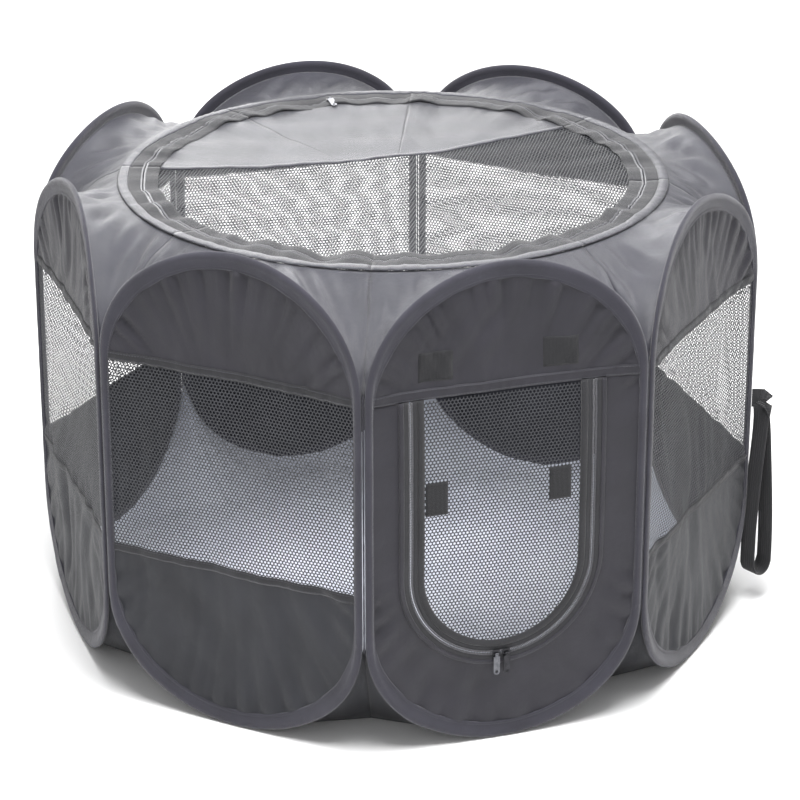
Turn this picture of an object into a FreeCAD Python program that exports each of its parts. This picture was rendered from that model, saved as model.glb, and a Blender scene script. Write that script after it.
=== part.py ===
import FreeCAD, Part
import math
import os

import Sketcher
from FreeCAD import Placement, Rotation, Vector

# Pop-up pet playpen: eight spring-hoop panels in a ring, a fabric roof ring with a zip-on
# mesh cover, a floor, and a zipped mesh door in the front panel.
# Frame: millimetres, +Z up, origin on the ground under the middle of the pen, front door
# towards -Y.  A panel is drawn once, standing on the XZ plane with its inner face at y = 0
# and its outside towards -Y, and each copy is turned about the pen's axis.

doc = FreeCAD.newDocument("pet_playpen")
sizes = doc.addObject("Spreadsheet::Sheet", "sizes")

DRIVING_SIZES = [
    # the ring of panels
    ("pen_height", 610.0),
    ("panel_width", 350.0),
    ("crown_flattening", 25.0),
    ("shoulder_sharpening", 35.0),
    ("seam_gap", 1.0),
    # hoop and its sleeve
    ("binding_width", 21.0),
    ("binding_thickness", 7.0),
    ("binding_round", 2.0),
    ("wire_diameter", 3.0),
    ("wire_inset", 6.0),
    ("ferrule_diameter", 5.0),
    ("ferrule_length", 32.0),
    ("wire_clearance", 0.3),
    # cloth and mesh
    ("cloth_depth", 3.0),
    ("cloth_thickness", 1.0),
    ("mesh_thickness", 0.8),
    ("upper_cloth_height", 155.0),
    ("mesh_bottom", 212.0),
    ("seam_tape_width", 10.0),
    ("seam_tape_thickness", 0.8),
    # roof
    ("roof_dip", 30.0),
    ("roof_depth", 77.7),
    ("ring_width", 30.0),
    ("ring_thickness", 1.6),
    ("roof_inset", 1.5),
    ("roof_thickness", 1.4),
    ("gusset_join", 2.5),
    ("gore_gap", 0.6),
    # floor
    ("floor_thickness", 1.5),
    ("crease_reach", 94.6),
    ("middle_radius", 12.0),
    ("crease_flat", 60.0),
    ("crease_offset", 8.0),
    # door and zip
    ("door_radius", 114.0),
    ("door_arc_height", 228.0),
    ("door_shift", 5.0),
    ("door_top_gap", 0.6),
    ("zip_tape_width", 10.0),
    ("coil_width", 2.4),
    ("coil_thickness", 2.6),
    ("zip_gap", 1.2),
    ("door_hem_width", 7.0),
    # slider and pull
    ("slider_length", 9.0),
    ("slider_width", 10.0),
    ("plate_thickness", 1.3),
    ("slider_clearance", 0.3),
    ("blade_thickness", 0.6),
    ("blade_length", 5.0),
    ("pin_diameter", 1.2),
    ("bail_span", 4.4),
    ("bail_leg", 0.9),
    ("bail_leg_depth", 1.6),
    ("barrel_wall", 0.8),
    ("pull_width", 8.0),
    ("pull_length", 27.0),
    ("pull_thickness", 1.4),
    ("pull_hole", 4.0),
    ("slider_angle", 3.3),
    # hook-and-loop patches
    ("panel_patch_width", 42.0),
    ("panel_patch_height", 36.0),
    ("panel_patch_rise", 38.0),
    ("door_patch_width", 28.0),
    ("door_patch_height", 42.0),
    ("door_patch_drop", 127.0),
    ("patch_spread", 154.0),
    ("patch_shift", 10.0),
    ("patch_thickness", 1.6),
    # carry loop
    ("loop_top", 300.0),
    ("loop_drop", 262.0),
    ("loop_width", 25.0),
    ("loop_bend_radius", 14.0),
    ("loop_thickness", 1.6),
    ("loop_stand_off", 14.0),
    ("loop_tab_height", 24.0),
    ("loop_clearance", 0.4),
    ("loop_twist", 45.0),
    ("roof_slider_turn", 2.4),
    ("roof_pull_droop", 6.0),
]
PANEL_COUNT = 8
TURN = 360.0 / PANEL_COUNT
HALF_TURN = math.radians(TURN / 2)

for row, (alias, value) in enumerate(DRIVING_SIZES, start=1):
    sizes.set("A%d" % row, alias)
    sizes.set("B%d" % row, str(value))
    sizes.setAlias("B%d" % row, alias)

# Values that follow from the driving sizes.
DERIVED_SIZES = [
    ("half_width", "panel_width / 2"),
    ("crown_radius", "half_width + crown_flattening"),
    ("shoulder_radius", "half_width - shoulder_sharpening"),
    # height of one rounded end, from its lowest tangent point to the crown
    (
        "arch_height",
        "crown_radius - sqrt((crown_radius - shoulder_radius)^2 - (half_width - shoulder_radius)^2)",
    ),
    ("apothem", "(panel_width + seam_gap) / 2 / tan(%r deg)" % (TURN / 2)),
    ("corner_reach", "apothem / cos(%r deg)" % (TURN / 2)),
    ("mesh_top", "pen_height - upper_cloth_height"),
    ("ring_height", "pen_height - roof_dip"),
    ("ring_outer_radius", "apothem - roof_depth"),
    ("ring_inner_radius", "ring_outer_radius - ring_width"),
    ("crease_radius", "corner_reach - crease_reach"),
    ("chain_radius", "ring_inner_radius - zip_gap / 2"),
    ("mesh_depth", "cloth_depth + (cloth_thickness - mesh_thickness) / 2"),
    ("coil_depth", "cloth_depth + (cloth_thickness - coil_thickness) / 2"),
    ("zip_half_gap", "zip_gap / 2"),
    ("door_top", "mesh_top - door_top_gap"),
    ("slot_radius", "door_radius + zip_tape_width"),
    ("barrel_bore", "pin_diameter + 2 * slider_clearance"),
    ("barrel_diameter", "barrel_bore + 2 * barrel_wall"),
    ("front_plate_depth", "coil_depth + coil_thickness + slider_clearance"),
    ("back_plate_depth", "coil_depth - slider_clearance - plate_thickness"),
    ("pin_depth", "front_plate_depth + plate_thickness + slider_clearance + barrel_diameter / 2"),
]
for row, (alias, formula) in enumerate(DERIVED_SIZES, start=len(DRIVING_SIZES) + 2):
    sizes.set("A%d" % row, alias)
    sizes.set("B%d" % row, "=" + formula)
    sizes.setAlias("B%d" % row, alias)
doc.recompute()


def size(alias):
    """The number that a cell of the sheet holds."""
    return float(sizes.get(alias))


STANDING = Rotation(Vector(1, 0, 0), 90)


def add(kind, name, **links):
    """A new document object with some of its properties set."""
    item = doc.addObject(kind, name)
    for key, value in links.items():
        setattr(item, key, value)
    return item


def bind(item, **formulas):
    """Tie properties of an object to cells; a double underscore stands for a dot."""
    for key, formula in formulas.items():
        item.setExpression(key.replace("__", "."), formula)
    return item


# ---------------------------------------------------------------- sketches

def new_sketch(name, placement):
    sketch = doc.addObject("Sketcher::SketchObject", name)
    sketch.Placement = placement
    return sketch


def dimension(sketch, kind, *refs_and_value, name, formula):
    """A named dimension bound to the sheet."""
    index = sketch.addConstraint(Sketcher.Constraint(kind, *refs_and_value))
    sketch.renameConstraint(index, name)
    sketch.setExpression("Constraints." + name, formula)


def relate(sketch, kind, *refs):
    sketch.addConstraint(Sketcher.Constraint(kind, *refs))


def arc(centre, radius, start, end):
    """Arc in the sketch's plane, angles in degrees, counter-clockwise."""
    circle = Part.Circle(Vector(centre[0], centre[1], 0), Vector(0, 0, 1), radius)
    return Part.ArcOfCircle(circle, math.radians(start), math.radians(end))


def line(start, end):
    return Part.LineSegment(Vector(start[0], start[1], 0), Vector(end[0], end[1], 0))


TOUCHING = 1e-3  # mm, closer than this counts as the same place
ORIGIN_POINT = (-1, 1)
UPRIGHT_AXIS = -2
START, END, CENTRE = 1, 2, 3


def add_hoop_outline(sketch, tag, inset):
    """Closed hoop outline, a named inset in from the outer edge: two straight sides
    joined by rounded ends of a crown arc between two tighter shoulder arcs."""
    inset_size = size(inset) if inset else 0.0
    less = " - sizes." + inset if inset else ""
    half = size("half_width") - inset_size
    crown = size("crown_radius") - inset_size
    shoulder = size("shoulder_radius") - inset_size
    low_crown = size("crown_radius")
    high_crown = size("pen_height") - low_crown
    shoulder_x = half - shoulder
    low_side = size("arch_height")
    high_side = size("pen_height") - low_side
    meet = math.degrees(math.atan2(high_side - high_crown, shoulder_x))

    first = sketch.GeometryCount
    sketch.addGeometry([
        line((half, low_side), (half, high_side)),
        arc((shoulder_x, high_side), shoulder, 0, meet),
        arc((0, high_crown), crown, meet, 180 - meet),
        arc((-shoulder_x, high_side), shoulder, 180 - meet, 180),
        line((-half, high_side), (-half, low_side)),
        arc((-shoulder_x, low_side), shoulder, 180, 180 + meet),
        arc((0, low_crown), crown, 180 + meet, 360 - meet),
        arc((shoulder_x, low_side), shoulder, 360 - meet, 360),
    ])
    for step in range(8):
        relate(sketch, "Tangent", first + step, END, first + (step + 1) % 8, START)
    for side in (0, 4):
        relate(sketch, "Vertical", first + side)
    for other in (3, 5, 7):
        relate(sketch, "Equal", first + 1, first + other)
    relate(sketch, "Equal", first + 2, first + 6)
    for end in (2, 6):
        relate(sketch, "PointOnObject", first + end, CENTRE, UPRIGHT_AXIS)
    dimension(sketch, "Radius", first + 2, crown,
              name=tag + "_crown", formula="sizes.crown_radius" + less)
    dimension(sketch, "Radius", first + 1, shoulder,
              name=tag + "_shoulder", formula="sizes.shoulder_radius" + less)
    dimension(sketch, "DistanceX", *ORIGIN_POINT, first, START, half,
              name=tag + "_right", formula="sizes.half_width" + less)
    dimension(sketch, "DistanceX", first + 4, START, *ORIGIN_POINT, half,
              name=tag + "_left", formula="sizes.half_width" + less)
    dimension(sketch, "DistanceY", *ORIGIN_POINT, first + 6, CENTRE, low_crown,
              name=tag + "_low", formula="sizes.crown_radius")
    dimension(sketch, "DistanceY", *ORIGIN_POINT, first + 2, CENTRE, high_crown,
              name=tag + "_high", formula="sizes.pen_height - sizes.crown_radius")


def add_door_outline(sketch, tag, radius_formula, top_formula):
    """Closed U outline of the door: straight sides, a half-round bottom, a flat top."""
    radius = evaluate(radius_formula)
    top = evaluate(top_formula)
    middle = -size("door_shift")
    low = size("door_arc_height")
    first = sketch.GeometryCount
    sketch.addGeometry([
        line((middle - radius, top), (middle - radius, low)),
        arc((middle, low), radius, 180, 360),
        line((middle + radius, low), (middle + radius, top)),
        line((middle + radius, top), (middle - radius, top)),
    ])
    relate(sketch, "Tangent", first, END, first + 1, START)
    relate(sketch, "Tangent", first + 1, END, first + 2, START)
    relate(sketch, "Coincident", first + 2, END, first + 3, START)
    relate(sketch, "Coincident", first + 3, END, first, START)
    relate(sketch, "Vertical", first)
    relate(sketch, "Vertical", first + 2)
    relate(sketch, "Horizontal", first + 3)
    dimension(sketch, "Radius", first + 1, radius, name=tag + "_radius", formula=radius_formula)
    dimension(sketch, "DistanceX", first + 1, CENTRE, *ORIGIN_POINT, -middle,
              name=tag + "_shift", formula="sizes.door_shift")
    dimension(sketch, "DistanceY", *ORIGIN_POINT, first + 1, CENTRE, low,
              name=tag + "_low", formula="sizes.door_arc_height")
    dimension(sketch, "DistanceY", *ORIGIN_POINT, first, START, top,
              name=tag + "_top", formula=top_formula)


def evaluate(formula):
    """Value of a formula written with the sheet's aliases, as the document sees it."""
    return float(sizes.evalExpression(formula.replace("sizes.", "")))


def extruded(name, sketch, length_formula, depth_formula=None):
    """Extrude a standing sketch outwards, starting a named depth in from the inner face."""
    solid = add("Part::Extrusion", name, Base=sketch, DirMode="Normal", Solid=True)
    solid.setExpression("LengthFwd", length_formula)
    if depth_formula:
        solid.setExpression("Placement.Base.y", "-(%s)" % depth_formula)
    return solid


def box(name, **formulas):
    """A box whose length, width, height and corner are bound to the sheet."""
    corner = {"x": "Placement__Base__x", "y": "Placement__Base__y", "z": "Placement__Base__z"}
    item = doc.addObject("Part::Box", name)
    for key, formula in formulas.items():
        bind(item, **{corner.get(key, key): formula})
    return item


# ---------------------------------------------------------------- one panel, drawn once

# Sleeve of binding round the hoop, hollow where the wire and its ferrule run.
ring_sketch = new_sketch("binding_outline", Placement(Vector(), STANDING))
add_hoop_outline(ring_sketch, "outer", None)
add_hoop_outline(ring_sketch, "inner", "binding_width")
doc.recompute()
binding_blank = extruded("binding_blank", ring_sketch, "sizes.binding_thickness")
doc.recompute()
binding_rounded = add("Part::Fillet", "binding_rounded", Base=binding_blank)


def outer_edges(shape):
    """Numbers of the ring's edges that follow its outer outline, on either face."""
    found = []
    outer_wire = max(ring_sketch.Shape.Wires, key=lambda wire: wire.Length)
    for number, edge in enumerate(shape.Edges, start=1):
        middle = edge.valueAt((edge.FirstParameter + edge.LastParameter) / 2)
        runs_across = abs(edge.Vertexes[0].Y - edge.Vertexes[-1].Y) > TOUCHING
        from_outline = outer_wire.distToShape(Part.Vertex(Vector(middle.x, 0, middle.z)))[0]
        if not runs_across and from_outline < TOUCHING:
            found.append(number)
    return found


rounded_edges = outer_edges(binding_blank.Shape)
binding_rounded.Edges = [(n, size("binding_round"), size("binding_round")) for n in rounded_edges]

path_sketch = new_sketch("wire_path", Placement(Vector(), STANDING))
add_hoop_outline(path_sketch, "path", "wire_inset")
bind(path_sketch, Placement__Base__y="-sizes.binding_thickness / 2")


def round_section(name, diameter_formula):
    """Circle across the wire's path, at the middle of its right-hand side."""
    section = add("Part::Circle", name)
    bind(section, Radius="(%s) / 2" % diameter_formula)
    bind(section, Placement__Base__x="sizes.half_width - sizes.wire_inset")
    bind(section, Placement__Base__y="-sizes.binding_thickness / 2")
    bind(section, Placement__Base__z="sizes.arch_height")
    return section


def swept(name, section):
    edges = ["Edge%d" % (n + 1) for n in range(8)]
    return add("Part::Sweep", name, Sections=[section], Spine=(path_sketch, edges),
               Solid=True, Frenet=False)


wire = swept("wire", round_section("wire_section", "sizes.wire_diameter"))
channel_section = round_section("channel_section", "sizes.wire_diameter + 2 * sizes.wire_clearance")
channel = swept("wire_channel", channel_section)


def lying_cylinder(name, diameter_formula, length_formula):
    """Cylinder along X over the bottom of the hoop's wire."""
    item = doc.addObject("Part::Cylinder", name)
    item.Placement = Placement(Vector(), Rotation(Vector(0, 1, 0), 90))
    bind(item, Radius="(%s) / 2" % diameter_formula, Height=length_formula)
    bind(item, Placement__Base__x="-(%s) / 2" % length_formula)
    bind(item, Placement__Base__y="-sizes.binding_thickness / 2")
    bind(item, Placement__Base__z="sizes.wire_inset")
    return item


ferrule_blank = lying_cylinder("ferrule_blank", "sizes.ferrule_diameter", "sizes.ferrule_length")
ferrule_room = lying_cylinder(
    "ferrule_room",
    "sizes.ferrule_diameter + 2 * sizes.wire_clearance",
    "sizes.ferrule_length + 2 * sizes.wire_clearance",
)
ferrule = add("Part::Cut", "ferrule", Base=ferrule_blank, Tool=wire)
hollow = add("Part::Fuse", "sleeve_hollow", Base=channel, Tool=ferrule_room)
binding = add("Part::Cut", "binding", Base=binding_rounded, Tool=hollow)
hoop = add("Part::Compound", "hoop", Links=[wire, ferrule])

# Cloth above and below the mesh, each with a seam tape over the mesh's edge.
inside_sketch = new_sketch("inside_outline", Placement(Vector(), STANDING))
add_hoop_outline(inside_sketch, "inside", "binding_width")
cloth_blank = extruded("cloth_blank", inside_sketch, "sizes.cloth_thickness", "sizes.cloth_depth")
mesh_blank = extruded("mesh_blank", inside_sketch, "sizes.mesh_thickness", "sizes.mesh_depth")
tape_blank = extruded("tape_blank", inside_sketch, "sizes.seam_tape_thickness",
                      "sizes.cloth_depth + sizes.cloth_thickness")


def band(name, blank, low_formula, high_formula):
    """The part of a flat blank between two heights."""
    slab = box(
        name + "_slab",
        Length="sizes.panel_width",
        Width="sizes.binding_thickness",
        Height="(%s) - (%s)" % (high_formula, low_formula),
        x="-sizes.half_width",
        y="-sizes.binding_thickness",
        z=low_formula,
    )
    return add("Part::Common", name, Base=blank, Tool=slab)


upper_cloth = band("upper_cloth", cloth_blank, "sizes.mesh_top", "sizes.pen_height")
lower_cloth = band("lower_cloth", cloth_blank, "0", "sizes.mesh_bottom")
upper_tape = band("upper_tape", tape_blank, "sizes.mesh_top",
                  "sizes.mesh_top + sizes.seam_tape_width")
lower_tape = band("lower_tape", tape_blank, "sizes.mesh_bottom - sizes.seam_tape_width",
                  "sizes.mesh_bottom")
mesh = band("mesh", mesh_blank, "sizes.mesh_bottom", "sizes.mesh_top")
cloth = add("Part::Compound", "cloth", Links=[upper_cloth, upper_tape, lower_cloth, lower_tape])
front_cloth = add("Part::Compound", "front_cloth", Links=[upper_cloth, upper_tape])

# ---------------------------------------------------------------- roof and floor of one panel


POINTS_PER_EDGE = 8


def strip_wire(outer_curves, inner_curves):
    """Closed wire between two rows of curves that run the same way."""
    last = outer_curves[-1].valueAt(outer_curves[-1].LastParameter)
    first = outer_curves[0].valueAt(outer_curves[0].FirstParameter)
    inner_last = inner_curves[-1].valueAt(inner_curves[-1].LastParameter)
    inner_first = inner_curves[0].valueAt(inner_curves[0].FirstParameter)
    edges = list(outer_curves)
    edges.append(Part.LineSegment(last, inner_last).toShape())
    edges.extend(reversed(inner_curves))
    edges.append(Part.LineSegment(inner_first, first).toShape())
    return Part.Wire(Part.__sortEdges__(edges))


def three_points_arc(centre, radius, start, end, to_space):
    """Arc edge from its start to its end angle, in degrees, placed by to_space."""
    points = []
    for angle in (start, (start + end) / 2, end):
        turn = math.radians(angle)
        points.append(to_space(centre[0] + radius * math.cos(turn),
                               centre[1] + radius * math.sin(turn)))
    return Part.Arc(*points).toShape()


def standing(x, z):
    return Vector(x, 0, z)


def hoop_end_curves(inset, top):
    """Shoulder, crown and shoulder arcs of the hoop's top or bottom end, left to right."""
    half = size("half_width") - inset
    crown = size("crown_radius") - inset
    shoulder = size("shoulder_radius") - inset
    shoulder_x = half - shoulder
    rise = size("crown_radius") - size("arch_height")
    meet = math.degrees(math.atan2(rise, shoulder_x))
    height = size("pen_height")

    def place(x, z):
        return standing(x, height - z if top else z)

    low = size("arch_height")
    return [
        three_points_arc((-shoulder_x, low), shoulder, 180, 180 + meet, place),
        three_points_arc((0, size("crown_radius")), crown, 180 + meet, 360 - meet, place),
        three_points_arc((shoulder_x, low), shoulder, 360 - meet, 360, place),
    ]


def ring_curves(radius, height):
    """Three arcs of the roof's ring in front of the panel, left to right."""
    apothem = size("apothem")
    reach = math.degrees(HALF_TURN) - math.degrees(size("gore_gap") / 2 / radius)
    share = reach / 3

    def place(x, y):
        return Vector(x, apothem + y, height)

    starts = [-90 - reach, -90 - share, -90 + share]
    ends = [-90 - share, -90 + share, -90 + reach]
    return [three_points_arc((0, 0), radius, a, b, place) for a, b in zip(starts, ends)]


def smooth_curve(edges):
    """One curve through points spread evenly along a row of edges."""
    points = [edges[0].valueAt(edges[0].FirstParameter)]
    for edge in edges:
        span = edge.LastParameter - edge.FirstParameter
        for step in range(1, POINTS_PER_EDGE + 1):
            points.append(edge.valueAt(edge.FirstParameter + span * step / POINTS_PER_EDGE))
    curve = Part.BSplineCurve()
    curve.interpolate(points)
    return curve.toShape()


def gore_loft(name, sections):
    """Ruled solid between two flat strips."""
    loft = Part.makeLoft(sections, True, True)
    if loft.Volume < 0:
        loft.reverse()
    return add("Part::Feature", name, Shape=loft)


def curve_ends(curve):
    return curve.valueAt(curve.FirstParameter), curve.valueAt(curve.LastParameter)


def ruled_sheet(name, top_pair, bottom_pair):
    """Solid between two ruled surfaces, each given by the two curves that it spans."""
    faces = [
        Part.makeRuledSurface(*top_pair),
        Part.makeRuledSurface(*bottom_pair),
        Part.makeRuledSurface(top_pair[0], bottom_pair[0]),
        Part.makeRuledSurface(top_pair[1], bottom_pair[1]),
    ]
    for end in (0, 1):
        top = [curve_ends(curve)[end] for curve in top_pair]
        bottom = [curve_ends(curve)[end] for curve in bottom_pair]
        faces.append(Part.makeRuledSurface(Part.LineSegment(*top).toShape(),
                                           Part.LineSegment(*bottom).toShape()))
    shell = Part.makeShell(faces)
    shell.sewShape()
    solid = Part.makeSolid(shell)
    if solid.Volume < 0:
        solid.reverse()
    return add("Part::Feature", name, Shape=solid)


half_roof = size("roof_thickness") / 2
roof_gore = ruled_sheet(
    "roof_gore",
    (smooth_curve(hoop_end_curves(size("roof_inset"), True)),
     smooth_curve(ring_curves(size("ring_outer_radius"), size("ring_height") + half_roof))),
    (smooth_curve(hoop_end_curves(size("roof_inset") + size("roof_thickness"), True)),
     smooth_curve(ring_curves(size("ring_outer_radius"), size("ring_height") - half_roof))),
)


def ring_sector(name, inner_radius, outer_radius, low, thickness):
    """Flat piece of the roof's ring in front of one panel."""
    outer = ring_curves(outer_radius, low)
    inner = ring_curves(inner_radius, low)
    face = Part.Face(strip_wire(outer, inner))
    return add("Part::Feature", name, Shape=face.extrude(Vector(0, 0, thickness)))


zip_band = ring_sector(
    "zip_band",
    size("ring_inner_radius") + size("coil_width"),
    size("ring_outer_radius"),
    size("ring_height") - size("ring_thickness") / 2,
    size("ring_thickness"),
)
zip_coil = ring_sector(
    "zip_coil",
    size("ring_inner_radius"),
    size("ring_inner_radius") + size("coil_width"),
    size("ring_height") - size("coil_thickness") / 2,
    size("coil_thickness"),
)


def pie_sector(name, radius, low, thickness):
    """Flat piece of a disc in front of one panel, from its rim almost to the pen's axis."""
    rim = ring_curves(radius, low)
    tip = Vector(0, size("apothem") - size("gore_gap") / 2 / math.sin(HALF_TURN), low)
    edges = list(rim)
    edges.append(Part.LineSegment(curve_ends(rim[-1])[1], tip).toShape())
    edges.append(Part.LineSegment(tip, curve_ends(rim[0])[0]).toShape())
    face = Part.Face(Part.Wire(Part.__sortEdges__(edges)))
    return add("Part::Feature", name, Shape=face.extrude(Vector(0, 0, thickness)))


# The cover zips into the ring: its own half of the zip, and its sheet.
cover_radius = size("ring_inner_radius") - size("zip_gap") - size("coil_width")
cover_coil = ring_sector(
    "cover_coil",
    cover_radius,
    cover_radius + size("coil_width"),
    size("ring_height") - size("coil_thickness") / 2,
    size("coil_thickness"),
)
cover_sheet = pie_sector(
    "cover_sheet",
    cover_radius,
    size("ring_height") - size("mesh_thickness") / 2,
    size("mesh_thickness"),
)
roof = add("Part::Compound", "roof",
           Links=[roof_gore, zip_band, zip_coil, cover_coil, cover_sheet])


def polar(radius, angle):
    """Point on the ground at a radius from the pen's axis, angle from the panel's middle."""
    return Vector(radius * math.sin(angle), size("apothem") - radius * math.cos(angle), 0)


def crease_lines(shift):
    """Ground crease of the gussets, left to right, moved towards the pen's axis."""
    half_gap = size("gore_gap") / 2 / math.cos(HALF_TURN)
    side = polar(size("crease_radius") - shift, HALF_TURN)
    left = Vector(-side.x + half_gap, side.y, 0)
    right = Vector(side.x - half_gap, side.y, 0)
    flat = size("crease_flat") / 2
    near = size("crease_offset") + shift
    points = [left, Vector(-flat, near, 0), Vector(flat, near, 0), right]
    return [Part.LineSegment(a, b).toShape() for a, b in zip(points, points[1:])]


gusset_outer = strip_wire(
    hoop_end_curves(size("roof_inset"), False),
    hoop_end_curves(size("roof_inset") + size("roof_thickness"), False),
)
gusset_inner = strip_wire(crease_lines(0), crease_lines(size("gusset_join")))
gusset = gore_loft("floor_gusset", [gusset_outer, gusset_inner])

pen_axis = Vector(0, size("apothem"), 0)
middle_gap = size("gore_gap") / 2 / math.sin(HALF_TURN)
crease = crease_lines(0)
gore_corners = [edge.Vertexes[0].Point for edge in crease]
gore_corners.append(crease[-1].Vertexes[-1].Point)
gore_corners.append(pen_axis - Vector(0, middle_gap, 0))
gore_corners.append(gore_corners[0])
gore_sheet = Part.Face(Part.makePolygon(gore_corners)).extrude(Vector(0, 0, size("floor_thickness")))


def floor_disc(radius_formula):
    """Disc as thick as the floor, on the pen's axis."""
    return Part.makeCylinder(evaluate(radius_formula), size("floor_thickness"), pen_axis)


# The front gore carries the round middle of the floor, and the others stop short of it.
cut_sheet = add("Part::Feature", "cut_sheet",
                Shape=gore_sheet.cut(floor_disc("sizes.middle_radius + sizes.gore_gap")))
front_sheet = add("Part::Feature", "front_sheet",
                  Shape=gore_sheet.fuse(floor_disc("sizes.middle_radius")).removeSplitter())
floor = add("Part::Compound", "floor", Links=[cut_sheet, gusset])
front_floor = add("Part::Compound", "front_floor", Links=[front_sheet, gusset])

# ---------------------------------------------------------------- door in the front panel


def add_door_band(sketch, tag, outer_formula, inner_formula, top_formula):
    """U-shaped band round the door, between two radii and up to a height."""
    outer = evaluate(outer_formula)
    inner = evaluate(inner_formula)
    top = evaluate(top_formula)
    middle = -size("door_shift")
    low = size("door_arc_height")
    sketch.addGeometry([
        line((middle - outer, top), (middle - outer, low)),
        arc((middle, low), outer, 180, 360),
        line((middle + outer, low), (middle + outer, top)),
        line((middle + outer, top), (middle + inner, top)),
        line((middle + inner, top), (middle + inner, low)),
        arc((middle, low), inner, 180, 360),
        line((middle - inner, low), (middle - inner, top)),
        line((middle - inner, top), (middle - outer, top)),
    ])
    for before, after in ((0, 1), (1, 2)):
        relate(sketch, "Tangent", before, END, after, START)
    relate(sketch, "Tangent", 4, END, 5, END)
    relate(sketch, "Tangent", 5, START, 6, START)
    for before, after in ((2, 3), (3, 4), (6, 7), (7, 0)):
        relate(sketch, "Coincident", before, END, after, START)
    for side in (0, 2, 4, 6):
        relate(sketch, "Vertical", side)
    for cap in (3, 7):
        relate(sketch, "Horizontal", cap)
    relate(sketch, "Coincident", 1, CENTRE, 5, CENTRE)
    dimension(sketch, "Radius", 1, outer, name=tag + "_outer", formula=outer_formula)
    dimension(sketch, "Radius", 5, inner, name=tag + "_inner", formula=inner_formula)
    dimension(sketch, "DistanceX", 1, CENTRE, *ORIGIN_POINT, -middle,
              name=tag + "_shift", formula="sizes.door_shift")
    dimension(sketch, "DistanceY", *ORIGIN_POINT, 1, CENTRE, low,
              name=tag + "_low", formula="sizes.door_arc_height")
    for side, corner in (("left", 0), ("right", 4)):
        dimension(sketch, "DistanceY", *ORIGIN_POINT, corner, START, top,
                  name=tag + "_" + side, formula=top_formula)


def door_band(name, outer, inner, top, thickness, depth):
    sketch = new_sketch(name + "_outline", Placement(Vector(), STANDING))
    add_door_band(sketch, "band", outer, inner, top)
    return extruded(name, sketch, thickness, depth)


door_outline = new_sketch("door_outline", Placement(Vector(), STANDING))
add_door_outline(door_outline, "door", "sizes.door_radius - sizes.zip_tape_width", "sizes.door_top")
door_mesh = extruded("door_sheet", door_outline, "sizes.mesh_thickness", "sizes.mesh_depth")

OUTSIDE_OF_MESH = "sizes.mesh_depth + sizes.mesh_thickness"
door_tape = door_band("door_tape", "sizes.door_radius - sizes.zip_half_gap - sizes.coil_width",
                      "sizes.door_radius - sizes.zip_tape_width", "sizes.door_top",
                      "sizes.cloth_thickness", "sizes.cloth_depth")
door_coil = door_band("door_coil", "sizes.door_radius - sizes.zip_half_gap",
                      "sizes.door_radius - sizes.zip_half_gap - sizes.coil_width",
                      "sizes.door_top", "sizes.coil_thickness", "sizes.coil_depth")
door_hem = door_band("door_hem", "sizes.door_radius - sizes.zip_tape_width",
                     "sizes.door_radius - sizes.zip_tape_width - sizes.door_hem_width",
                     "sizes.door_top", "sizes.seam_tape_thickness", OUTSIDE_OF_MESH)
door_zip = add("Part::Compound", "door_half_zip", Links=[door_tape, door_coil, door_hem])

frame_tape = door_band("frame_tape", "sizes.slot_radius",
                       "sizes.door_radius + sizes.zip_half_gap + sizes.coil_width",
                       "sizes.mesh_top", "sizes.cloth_thickness", "sizes.cloth_depth")
frame_coil = door_band("frame_coil",
                       "sizes.door_radius + sizes.zip_half_gap + sizes.coil_width",
                       "sizes.door_radius + sizes.zip_half_gap",
                       "sizes.mesh_top", "sizes.coil_thickness", "sizes.coil_depth")
frame_zip = add("Part::Compound", "frame_zip", Links=[frame_tape, frame_coil])

slot_outline = new_sketch("slot_outline", Placement(Vector(), STANDING))
add_door_outline(slot_outline, "slot", "sizes.slot_radius", "sizes.mesh_top")
door_slot = extruded("door_slot", slot_outline, "sizes.binding_thickness")
surround_blank = band("surround_blank", cloth_blank, "0", "sizes.mesh_top")
surround = add("Part::Cut", "surround", Base=surround_blank, Tool=door_slot)


def patch_pair(name, width, height, low, depth):
    """Two hook-and-loop patches side by side at one height."""
    pair = []
    for side, sign in (("left", "-"), ("right", "+")):
        middle = "-sizes.patch_shift %s sizes.patch_spread / 2" % sign
        pair.append(box(
            name + "_" + side,
            Length=width,
            Width="sizes.patch_thickness",
            Height=height,
            x="%s - %s / 2" % (middle, width),
            y="-(%s) - sizes.patch_thickness" % depth,
            z="%s - %s / 2" % (low, height),
        ))
    return add("Part::Compound", name, Links=pair)


panel_patches = patch_pair("patches_on_panel", "sizes.panel_patch_width", "sizes.panel_patch_height",
                           "sizes.mesh_top + sizes.panel_patch_rise",
                           "sizes.cloth_depth + sizes.cloth_thickness")
door_patches = patch_pair("patches_on_door", "sizes.door_patch_width", "sizes.door_patch_height",
                          "sizes.mesh_top - sizes.door_patch_drop", OUTSIDE_OF_MESH)

# ---------------------------------------------------------------- slider and its pull
# Drawn at the middle of the zip's gap: X along the chain, +Z over the door's half of the
# zip, -Y outwards.


def plane_of(body, role):
    for feature in body.Origin.OriginFeatures:
        if feature.Role == role:
            return feature
    raise ValueError(role)


def body_sketch(body, name, role, offset_formula=None):
    sketch = body.newObject("Sketcher::SketchObject", name)
    sketch.AttachmentSupport = [(plane_of(body, role), "")]
    sketch.MapMode = "FlatFace"
    if offset_formula:
        sketch.setExpression("AttachmentOffset.Base.z", offset_formula)
    return sketch


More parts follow.
